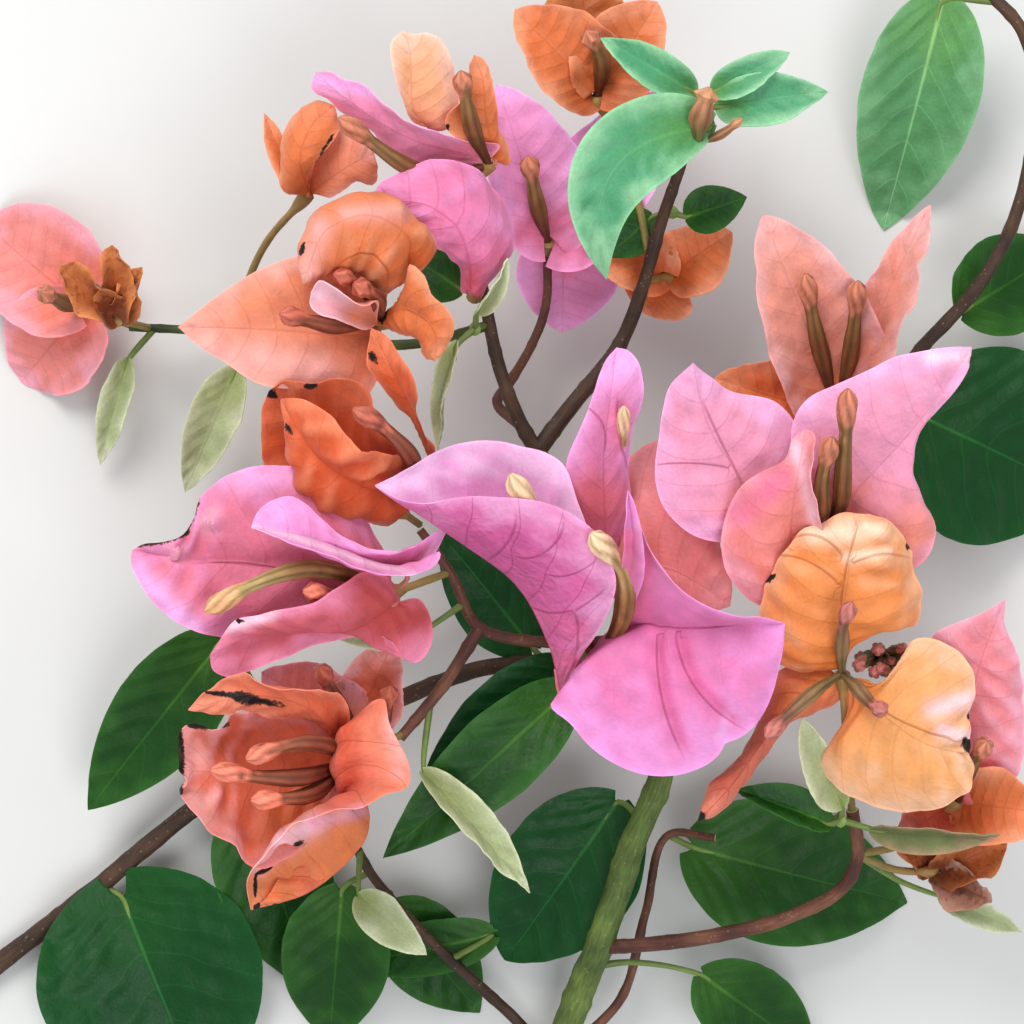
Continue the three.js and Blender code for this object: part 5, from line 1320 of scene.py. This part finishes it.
def limb_skin(form, points, radius_at, tint_at, sides, seed, rough=0.0, finish=0, cut=None):
    """A round limb along a curve, its skin roughened by rough as a share of its radius.

    Its ends are rounded, or cut straight where cut is their finish.
    """
    place_at, length = curve(points)
    share = np.linspace(0, 1, max(FEWEST_LIMB_ROWS, int(length / LIMB_STEP)))[:, None]
    turn = np.linspace(0, TURN, sides, endpoint=False)[None]
    radii = radius_at(share, turn) * np.ones((len(share), sides))
    mean = radii.mean()
    span = layer(mean * np.cos(turn), mean * np.sin(turn), share * length, 1.0)
    if rough:
        straight = span[..., :3]
        ridges = bumps(straight * RIDGE_STRETCH, RIDGES, seed, 2)
        radii = radii * (1 + rough * ridges + rough * bumps(straight, LUMPS, seed + 1, 2))
    narrow, beyond = ROUND_END if cut is None else CUT_END
    centres, radii, span, share = (np.concatenate([values[:1], values, values[-1:]])
                                   for values in (place_at(share[:, 0]), radii, span, share))
    radii[[0, -1]] *= narrow
    centres[0] -= unit(centres[2] - centres[1]) * radii[1].mean() * beyond
    centres[-1] += unit(centres[-2] - centres[-3]) * radii[-2].mean() * beyond
    places = rings(centres, radii)
    tints = tint_at(share * np.ones((1, sides)), turn, places)
    tints = np.concatenate([tints, np.zeros((*tints.shape[:2], 1))], axis=-1)
    form.skin(places, dict(tint=tints, span=span), finish=finish, ends=cut)


def stalk_skin(form, points, radius_at, colours, seed, finish=0):
    """A stalk whose radius follows from the share of its length, and whose colour changes along it."""
    low, high = (linear(colour) for colour in colours)
    patches, size = STALK_PATCHES

    def tint_at(share, turn, places):
        return mixed(low, high, np.clip(share + patches * bumps(places, size, seed), 0, 1))

    limb_skin(form, points, lambda share, turn: radius_at(share), tint_at, STALK_SIDES, seed,
              rough=STALK_ROUGHNESS, finish=finish)


def flower_skin(form, points, radius, colours, seed, finish=0):
    """A tube flower: ribbed and swollen low down, with a neck and a closed bud of folded lobes."""
    twist = np.random.default_rng(seed).uniform(0, 6)
    tube, body, neck, bud = (linear(colour) for colour in colours)
    patches, size = FLOWER_PATCHES

    def grooves_at(share, turn):
        sway = RIB_SWAY * np.sin(RIB_SWAY_RATE * share)
        swirl = turn + twist + BUD_TWIST * smooth(*TWIST_BEGINS, share) + sway
        return np.abs(np.cos(FLOWER_RIBS * swirl / 2))

    def radius_at(share, turn):
        full = radius * np.interp(share, *zip(*FLOWER_PROFILE))
        grooves = grooves_at(share, turn)
        ribs = smooth(*RIBS_BEGIN, share) * (1 - smooth(*RIBS_END, share))
        ribbed = ribs * (RIB_SWELL - RIB_GROOVE * grooves ** 3)
        return full * (1 + ribbed - LOBE_GROOVE * smooth(*LOBES_BEGIN, share) * grooves ** 8)

    def tint_at(share, turn, places):
        uneven = patches * bumps(places, size, seed)
        tint = mixed(tube, body, smooth(*BODY_BEGINS, share + uneven))
        tint = mixed(tint, neck, smooth(*NECK_BEGINS, share))
        tint = mixed(tint, bud, smooth(*BUD_BEGINS, share + uneven))
        # Painted shade in the grooves between the ribs and the lobes.
        return tint * (1 + uneven - GROOVE_PAINTED_SHADE * grooves_at(share, turn) ** 4)[..., None]

    limb_skin(form, points, radius_at, tint_at, FLOWER_SIDES, seed, finish=finish)


def stalk_end(blade):
    """Where a blade's claw or stalk runs out, a little way up its midrib."""
    surface = blade_surface(blade)[0]
    return surface(np.array([STALK_START, STALK_SINK]), np.array([-0.5, 0.0, 0.5]))[1, 1]


class Finish:
    """A material whose nodes are added and joined one by one."""

    def __init__(self, name):
        self.material = bpy.data.materials.new(name)
        self.material.use_nodes = True
        self.tree = self.material.node_tree
        self.tree.nodes.clear()

    def put(self, value, socket):
        """A value, or what another node gives out, into a socket."""
        if isinstance(value, bpy.types.NodeSocket):
            self.tree.links.new(value, socket)
        else:
            socket.default_value = value

    def node(self, kind, inputs=None, **settings):
        node = self.tree.nodes.new("ShaderNode" + kind)
        for key, value in settings.items():
            setattr(node, key, value)
        for name, value in (inputs or {}).items():
            self.put(value, node.inputs[name])
        return node

    def maths(self, operation, *values):
        return self.node("Math", dict(enumerate(values)), operation=operation).outputs[0]

    def times(self, one, other):
        return self.maths("MULTIPLY", one, other)

    def ramp(self, value, low, high, first=0.0, last=1.0):
        """A smooth step from first to last while value goes from low to high."""
        inputs = {"Value": value, "From Min": low, "From Max": high, "To Min": first, "To Max": last}
        return self.node("MapRange", inputs, interpolation_type="SMOOTHSTEP").outputs["Result"]

    def mix(self, share, one, other, blend="MIX"):
        """One colour turned into the other by a share."""
        node = self.node("Mix", data_type="RGBA", blend_type=blend, clamp_factor=True)
        for name, value in (("Factor", share), ("A", one), ("B", other)):
            self.put(value, next(s for s in node.inputs if s.name == name and s.enabled))
        return next(s for s in node.outputs if s.enabled)

    def scaled(self, vector, scale):
        """A vector or a colour times one value, or times one value for each of its three."""
        if isinstance(scale, tuple):
            return self.node("VectorMath", {0: vector, 1: scale}, operation="MULTIPLY").outputs[0]
        return self.node("VectorMath", {0: vector, "Scale": scale}, operation="SCALE").outputs[0]

    def noise(self, vector, scale, detail=3.0, roughness=0.55, dimensions="3D"):
        inputs = {"Vector": vector, "Scale": scale, "Detail": detail, "Roughness": roughness}
        return self.node("TexNoise", inputs, noise_dimensions=dimensions).outputs["Fac"]

    def read(self, name):
        """A layer of the form's values: its first three as a colour, and its last."""
        node = self.node("Attribute", attribute_name=name, attribute_type="GEOMETRY")
        return node.outputs["Color"], node.outputs["Alpha"]

    def parts(self, three):
        """The three values of a colour."""
        return self.node("SeparateColor", {"Color": three}).outputs

    def bump(self, height, strength):
        inputs = {"Height": height, "Strength": strength, "Distance": BUMP_DISTANCE}
        return self.node("Bump", inputs).outputs[0]

    def surface(self, tint, roughness, **more):
        inputs = {"Base Color": tint, "Roughness": roughness}
        for name, value in more.items():
            inputs[SOCKETS[name]] = value
        return self.node("BsdfPrincipled", inputs).outputs[0]

    def done(self, shader):
        self.node("OutputMaterial", {"Surface": shader})
        return self.material


def colour(screen):
    return (*(float(part) for part in linear(screen)), 1.0)


def veins_of(f, width, laterals):
    """How much each place of a blade belongs to its midrib or, less so, to a vein beside it."""
    veins, up = f.read("veins")
    phase, side, gap = f.parts(veins)
    across = f.parts(f.read("span")[0])[1]
    away = f.times(f.maths("ABSOLUTE", f.maths("SUBTRACT", f.maths("FRACT", phase), 0.5)), gap)
    taper = f.times(f.maths("SUBTRACT", LATERAL_TAPER, side), width)
    lateral = f.maths("SUBTRACT", 1.0, f.ramp(f.maths("DIVIDE", away, taper), *LATERAL_EDGE))
    rib = f.times(f.maths("SUBTRACT", MIDRIB_TAPER, up), MIDRIB_WIDTH * width)
    edge = f.ramp(f.maths("DIVIDE", f.maths("ABSOLUTE", across), rib), *MIDRIB_EDGE)
    return f.maths("MAXIMUM", f.times(lateral, laterals), f.maths("SUBTRACT", 1.0, edge))


def line_of(f):
    """How much each place of a blade belongs to a line that is drawn on it."""
    away, clear, _ = f.parts(f.read("drawn")[0])
    return f.times(clear, f.ramp(f.maths("ABSOLUTE", away), *LINE_EDGE, 1.0, 0.0))


def dried(f, tint, grit, harm):
    """The tint of a blade, scorched where it is harmed, and burnt at the very edge."""
    ragged = f.maths("MULTIPLY_ADD", grit, RAGGEDNESS, harm)
    scorched = f.mix(f.ramp(ragged, *SCORCH_BEGINS), tint, colour(SCORCHED))
    return f.mix(f.ramp(ragged, *BURN_BEGINS), scorched, colour(BURNT))


def blade_finish(name, vein_colour, vein_strength, vein_width, relief, through, roughness, gloss, grain,
                 laterals, creased, sheen):
    """The finish of bracts and leaves: tinted, veined, a little uneven, and lit through from behind."""
    f = Finish(name)
    tint, harm = f.read("tint")
    span, shown = f.read("span")
    grit = f.noise(span, *GRIT, "2D")
    veins = veins_of(f, vein_width, laterals)
    line = line_of(f)
    body = f.scaled(tint, f.ramp(grit, *NOISE_MIDDLE, 1.0 - grain, 1.0 + grain))
    strong = f.times(veins, f.times(shown, vein_strength))
    # Darker at the veins and along the drawn lines: vein colour, and painted shade at the bottom of the
    # folds.
    veined = f.mix(f.maths("MAXIMUM", strong, f.times(line, LINE_VEIN_AND_PAINTED_SHADE)), body, vein_colour, "MULTIPLY")
    final = dried(f, veined, grit, harm)

    wrinkles = f.maths("ABSOLUTE", f.maths("SUBTRACT", f.noise(span, *WRINKLES, "2D"), 0.5))
    raised = f.maths("MULTIPLY_ADD", veins, relief, f.times(wrinkles, creased))
    height = f.maths("MULTIPLY_ADD", grit, GRIT_HEIGHT, f.times(raised, shown))
    height = f.maths("MULTIPLY_ADD", line, LINE_HEIGHT, height)
    rough = f.ramp(grit, *NOISE_MIDDLE, roughness - BLADE_UNEVENNESS, roughness + BLADE_UNEVENNESS)
    surface = f.surface(final, rough, bump=f.bump(height, BLADE_BUMP), gloss=gloss, sheen=sheen,
                        soft=SHEEN_ROUGHNESS)
    lit = f.node("BsdfTranslucent", {"Color": final}).outputs[0]
    return f.done(f.node("MixShader", {0: through, 1: surface, 2: lit}).outputs[0])


def limb_finish(name, streak, relief, roughness, specks):
    """The finish of stems, stalks and tube flowers: tinted and streaked along their length."""
    f = Finish(name)
    tint, _ = f.read("tint")
    span, _ = f.read("span")
    streaks = f.noise(f.scaled(span, STREAK_STRETCH), *STREAKS)
    patches = f.noise(span, LIMB_PATCHES)
    shade = f.times(f.ramp(streaks, *NOISE_MIDDLE, 1 - streak, 1 + streak),
                    f.ramp(patches, *NOISE_MIDDLE, *PATCH_SHADES))
    dots = f.node("TexVoronoi", {"Vector": span, "Scale": SPECK_SCALE}).outputs["Distance"]
    speck = f.ramp(dots, *SPECK_EDGE, specks, 0.0)
    final = f.mix(speck, f.scaled(tint, shade), colour(SPECK_COLOUR))
    height = f.maths("ADD", f.times(streaks, relief), f.times(speck, SPECK_HEIGHT))
    rough = f.ramp(patches, *NOISE_MIDDLE, roughness - LIMB_UNEVENNESS, roughness + LIMB_UNEVENNESS)
    return f.done(f.surface(final, rough, bump=f.bump(height, LIMB_BUMP), gloss=LIMB_GLOSS))


def cut_finish():
    """Pale damp wood with its rings, where a stem was cut."""
    f = Finish("cut_wood")
    span, _ = f.read("span")
    flat = f.scaled(span, (1.0, 1.0, 0.0))
    middle = f.node("VectorMath", {0: flat}, operation="LENGTH").outputs["Value"]
    circles = f.maths("SINE", f.times(f.maths("ADD", middle, f.noise(span, RING_STRAY)), RING_RATE))
    wood = f.mix(f.ramp(circles, -1.0, 1.0), *(colour(tone) for tone in WOOD_COLOURS))
    return f.done(f.surface(wood, WOOD_ROUGHNESS))


def floor_finish():
    f = Finish("pale_floor")
    faint = f.ramp(f.noise(f.node("TexCoord").outputs["Object"], FLOOR_PATCHES), *NOISE_MIDDLE)
    return f.done(f.surface(f.mix(faint, *(colour(tone) for tone in FLOOR_COLOURS)), FLOOR_ROUGHNESS))


def stage_and_light():
    """A plain pale floor, and soft light from the top of the picture, where the sky was."""
    bpy.ops.mesh.primitive_plane_add(size=FLOOR_SIZE, location=(0, 0, 0))
    floor = bpy.context.object
    floor.name = "floor"
    floor.data.materials.append(floor_finish())
    for name, place, size, power, tone in LIGHTS:
        light = bpy.data.lights.new(name, "AREA")
        light.shape, light.size, light.energy, light.color = "DISK", size, power, tone
        lamp = bpy.data.objects.new(name, light)
        lamp.location = place
        lamp.rotation_euler = (-Vector(place)).to_track_quat("-Z", "Y").to_euler()
        bpy.context.scene.collection.objects.link(lamp)
    world = bpy.data.worlds.new("studio")
    world.use_nodes = True
    background = world.node_tree.nodes["Background"]
    background.inputs["Color"].default_value = SKY_COLOUR
    background.inputs["Strength"].default_value = SKY_STRENGTH
    bpy.context.scene.world = world
    bpy.context.scene.view_settings.view_transform = "Standard"


def camera():
    """The camera straight above the middle of the photograph's view."""
    lens = bpy.data.cameras.new("camera")
    lens.sensor_width = SENSOR_WIDTH
    lens.lens = SENSOR_WIDTH * (EYE_HEIGHT - TRUE_HEIGHT) / PICTURE_WIDTH
    lens.clip_start = NEAREST_SEEN * METRES
    eye = bpy.data.objects.new("camera", lens)
    eye.location = (np.array([0, 0, EYE_HEIGHT]) - MIDDLE) * METRES
    bpy.context.scene.collection.objects.link(eye)
    bpy.context.scene.camera = eye


def foot_of(bract, centre, order):
    """Where a bract given by its size starts: its own place, or close to the middle of its bloom."""
    reach = FOOT_REACH / np.linalg.norm(seen(centre) - seen(bract["tip"]))
    x, y, z = bract.get("foot", np.asarray(centre) + (np.asarray(bract["tip"]) - centre) * reach)
    return [x, y, z + (1 - order) * LAYER]


def bracts_of(bloom):
    """The bracts of a bloom, each with its foot, and clawed where that isn't at the bloom's middle."""
    bracts = [{**BRACT, "tone": bloom["tone"], **entry} for entry in bloom["bracts"]]
    for order, bract in enumerate(bracts):
        bract["clawed"] = "spine" in bract or "foot" in bract
        bract["foot"] = bract["spine"][0] if "spine" in bract else foot_of(bract, bloom["centre"], order)
    return bracts


def dress_bracts(node, bracts, seed, finishes):
    form = Form()
    slots = list(dict.fromkeys(BRACT_SLOTS[bract["tone"]] for bract in bracts))
    for order, bract in enumerate(bracts):
        tone = bract["tone"]
        slot = BRACT_SLOTS[tone]
        creases = DRIED_CREASES if tone in DRIED_TONES else CREASES[slot]
        blade_skin(form, bract, BRACT_COLOURS[tone], creases, 10 * seed + order, slots.index(slot))
    form.piece(node + "_bracts", [finishes[slot] for slot in slots], slots[0], node)


def dress_bloom_stalk(node, bloom, bracts, seed, finish):
    """The stalk of a bloom with its hub, and the claws of its bracts."""
    form = Form()
    centre = bloom["centre"]
    stalk_skin(form, seen([*bloom["stalk"], centre]),
               lambda share: STALK_RADIUS + (HUB_RADIUS - STALK_RADIUS) * smooth(*HUB_BEGINS, share),
               STALK_COLOURS, seed)
    colours = (STALK_COLOURS[1], BRACT_COLOURS[bloom["tone"]][0])
    for order, bract in enumerate(bracts):
        if bract["clawed"]:
            claw = [seen(centre), seen(bract["foot"]), stalk_end(bract) - CLAW_SINK]
            stalk_skin(form, claw, lambda share: CLAW_RADIUS * (1 - CLAW_TAPER * share), colours,
                       seed + order)
    form.piece(node + "_stalk", [finish], STALK_SLOT, node)


def dress_flowers(node, bloom, seed, finish):
    form = Form()
    buds = pair(bloom["buds"])
    radius = bloom.get("flower_radius", FLOWER_RADIUS)
    for order, places in enumerate(bloom["flowers"]):
        colours = BUD_COLOURS[buds[order % len(buds)]]
        flower_skin(form, seen([bloom["centre"], *places]), radius, colours, 30 * seed + order)
    if "hole_buds" in bloom:
        bud_cluster(form, bloom["hole_buds"], seed)
    form.piece(node + "_flowers", [finish], FLOWER_SLOT, node)


def bud_cluster(form, middle, seed):
    """A small knot of withered buds."""
    random = np.random.default_rng(seed)
    for order in range(HOLE_BUDS):
        lean = random.uniform(-1, 1, 3) * HOLE_BUD_SPREAD
        start = middle + lean * HOLE_BUD_START - HOLE_BUD_DEPTH
        tip = middle + lean + HOLE_BUD_HEIGHT
        line = seen([start, (start + tip) / 2 + HOLE_BUD_BEND, tip])
        flower_skin(form, line, HOLE_BUD_RADIUS, BUD_COLOURS[HOLE_BUD_TONES[order % 2]], seed + order)


def dress_blooms(finishes, tube_finish, stalk_finish):
    for seed, (node, bloom) in enumerate(BLOOMS.items()):
        bracts = bracts_of(bloom)
        dress_bracts(node, bracts, seed, finishes)
        dress_bloom_stalk(node, bloom, bracts, seed, stalk_finish)
        if "flowers" in bloom:
            dress_flowers(node, bloom, seed, tube_finish)


def leaf_skin(form, leaf, stalk, seed, finish, stalk_finish):
    """A leaf with its stalk."""
    blade_skin(form, leaf, LEAF_COLOURS[leaf["tone"]], LEAF_CREASES, seed, finish)

    def radius_at(share):
        narrowing = LEAF_STALK_NARROWING * smooth(*LEAF_STALK_NARROWS, share)
        return LEAF_STALK_RADIUS * (LEAF_STALK_SWELL - LEAF_STALK_TAPER * share - narrowing)

    stalk_skin(form, [*seen(stalk), stalk_end(leaf)], radius_at, LEAF_STALK_COLOURS, seed,
               finish=stalk_finish)


def dress_leaves(finishes, stalk_finish):
    for seed, (node, entry) in enumerate(LEAVES.items()):
        form = Form()
        leaf = {**LEAF, **entry}
        slot = LEAF_SLOTS[leaf["tone"]]
        leaf_skin(form, leaf, [*leaf["stalk"], leaf["foot"]], seed + LEAF_SEEDS, 0, 1)
        form.piece(node + "_blade", [finishes[slot], stalk_finish], slot, node)


def dress_shoots(finishes, stalk_finish):
    """Each shoot with its stalk, its leaves and the closed buds at its tip."""
    for seed, (node, shoot) in enumerate(SHOOTS.items()):
        form = Form()
        bud = shoot["bud"]
        leaves = [{**LEAF, **entry} for entry in shoot["leaves"]]
        slots = list(dict.fromkeys(LEAF_SLOTS[leaf["tone"]] for leaf in leaves))
        for order, leaf in enumerate(leaves):
            leaf_skin(form, leaf, [bud, leaf["foot"]], 10 * seed + order + SHOOT_SEEDS,
                      slots.index(LEAF_SLOTS[leaf["tone"]]), len(slots))
        stalk_skin(form, seen([*shoot["stalk"], bud]),
                   lambda share: LEAF_STALK_RADIUS + SHOOT_SWELL * smooth(*SHOOT_SWELLS, share),
                   LEAF_STALK_COLOURS, seed, finish=len(slots))
        for order, (tip, radius) in enumerate(zip(shoot.get("tips", []), TIP_RADII)):
            flower_skin(form, seen(tip), radius, BUD_COLOURS["shoot"], seed + order, finish=len(slots))
        form.piece(node + "_leaves", [*(finishes[slot] for slot in slots), stalk_finish], slots[0], node)


def dress_stems(finishes, cut):
    for seed, (node, stem) in enumerate(STEMS.items()):
        form = Form()
        low, high = stem["radius"]
        dark, light = (linear(tone) for tone in BARK_COLOURS[stem["tone"]])
        path = seen(stem["path"])
        patches, size = BARK_PATCHES

        def radius_at(share, turn):
            joint = np.exp(-((np.mod(share * len(path), 1) - 0.5) / JOINT_WIDTH) ** 2)
            return (low + (high - low) * share) * (1 + JOINT_SWELL * joint)

        def tint_at(share, turn, places):
            return mixed(dark, light, np.clip(0.5 + patches * bumps(places, size, seed), 0, 1))

        limb_skin(form, path, radius_at, tint_at, STEM_SIDES, seed, rough=BARK_ROUGHNESS, cut=1)
        slot = BARK_SLOTS[stem["tone"]]
        form.piece(node + "_bark", [finishes[slot], cut], slot, node)


camera()
stage_and_light()
bract_finishes = {
    slot: blade_finish(slot, colour(vein), relief=relief, **BRACT_LOOK)
    for slot, (vein, relief) in BRACT_VEINS.items()
}
leaf_finishes = {
    slot: blade_finish(slot, (*vein, 1.0), vein_strength=strength, roughness=roughness, **LEAF_LOOK)
    for slot, (vein, strength, roughness) in LEAF_VEINS.items()
}
bark_finishes = {slot: limb_finish(slot, **BARK_LOOK) for slot in BARK_SLOTS.values()}
stalk_finish = limb_finish("green_stalk", **STALK_LOOK)
dress_blooms(bract_finishes, limb_finish("flower_tube", **TUBE_LOOK), stalk_finish)
dress_leaves(leaf_finishes, stalk_finish)
dress_shoots(leaf_finishes, stalk_finish)
dress_stems(bark_finishes, cut_finish())
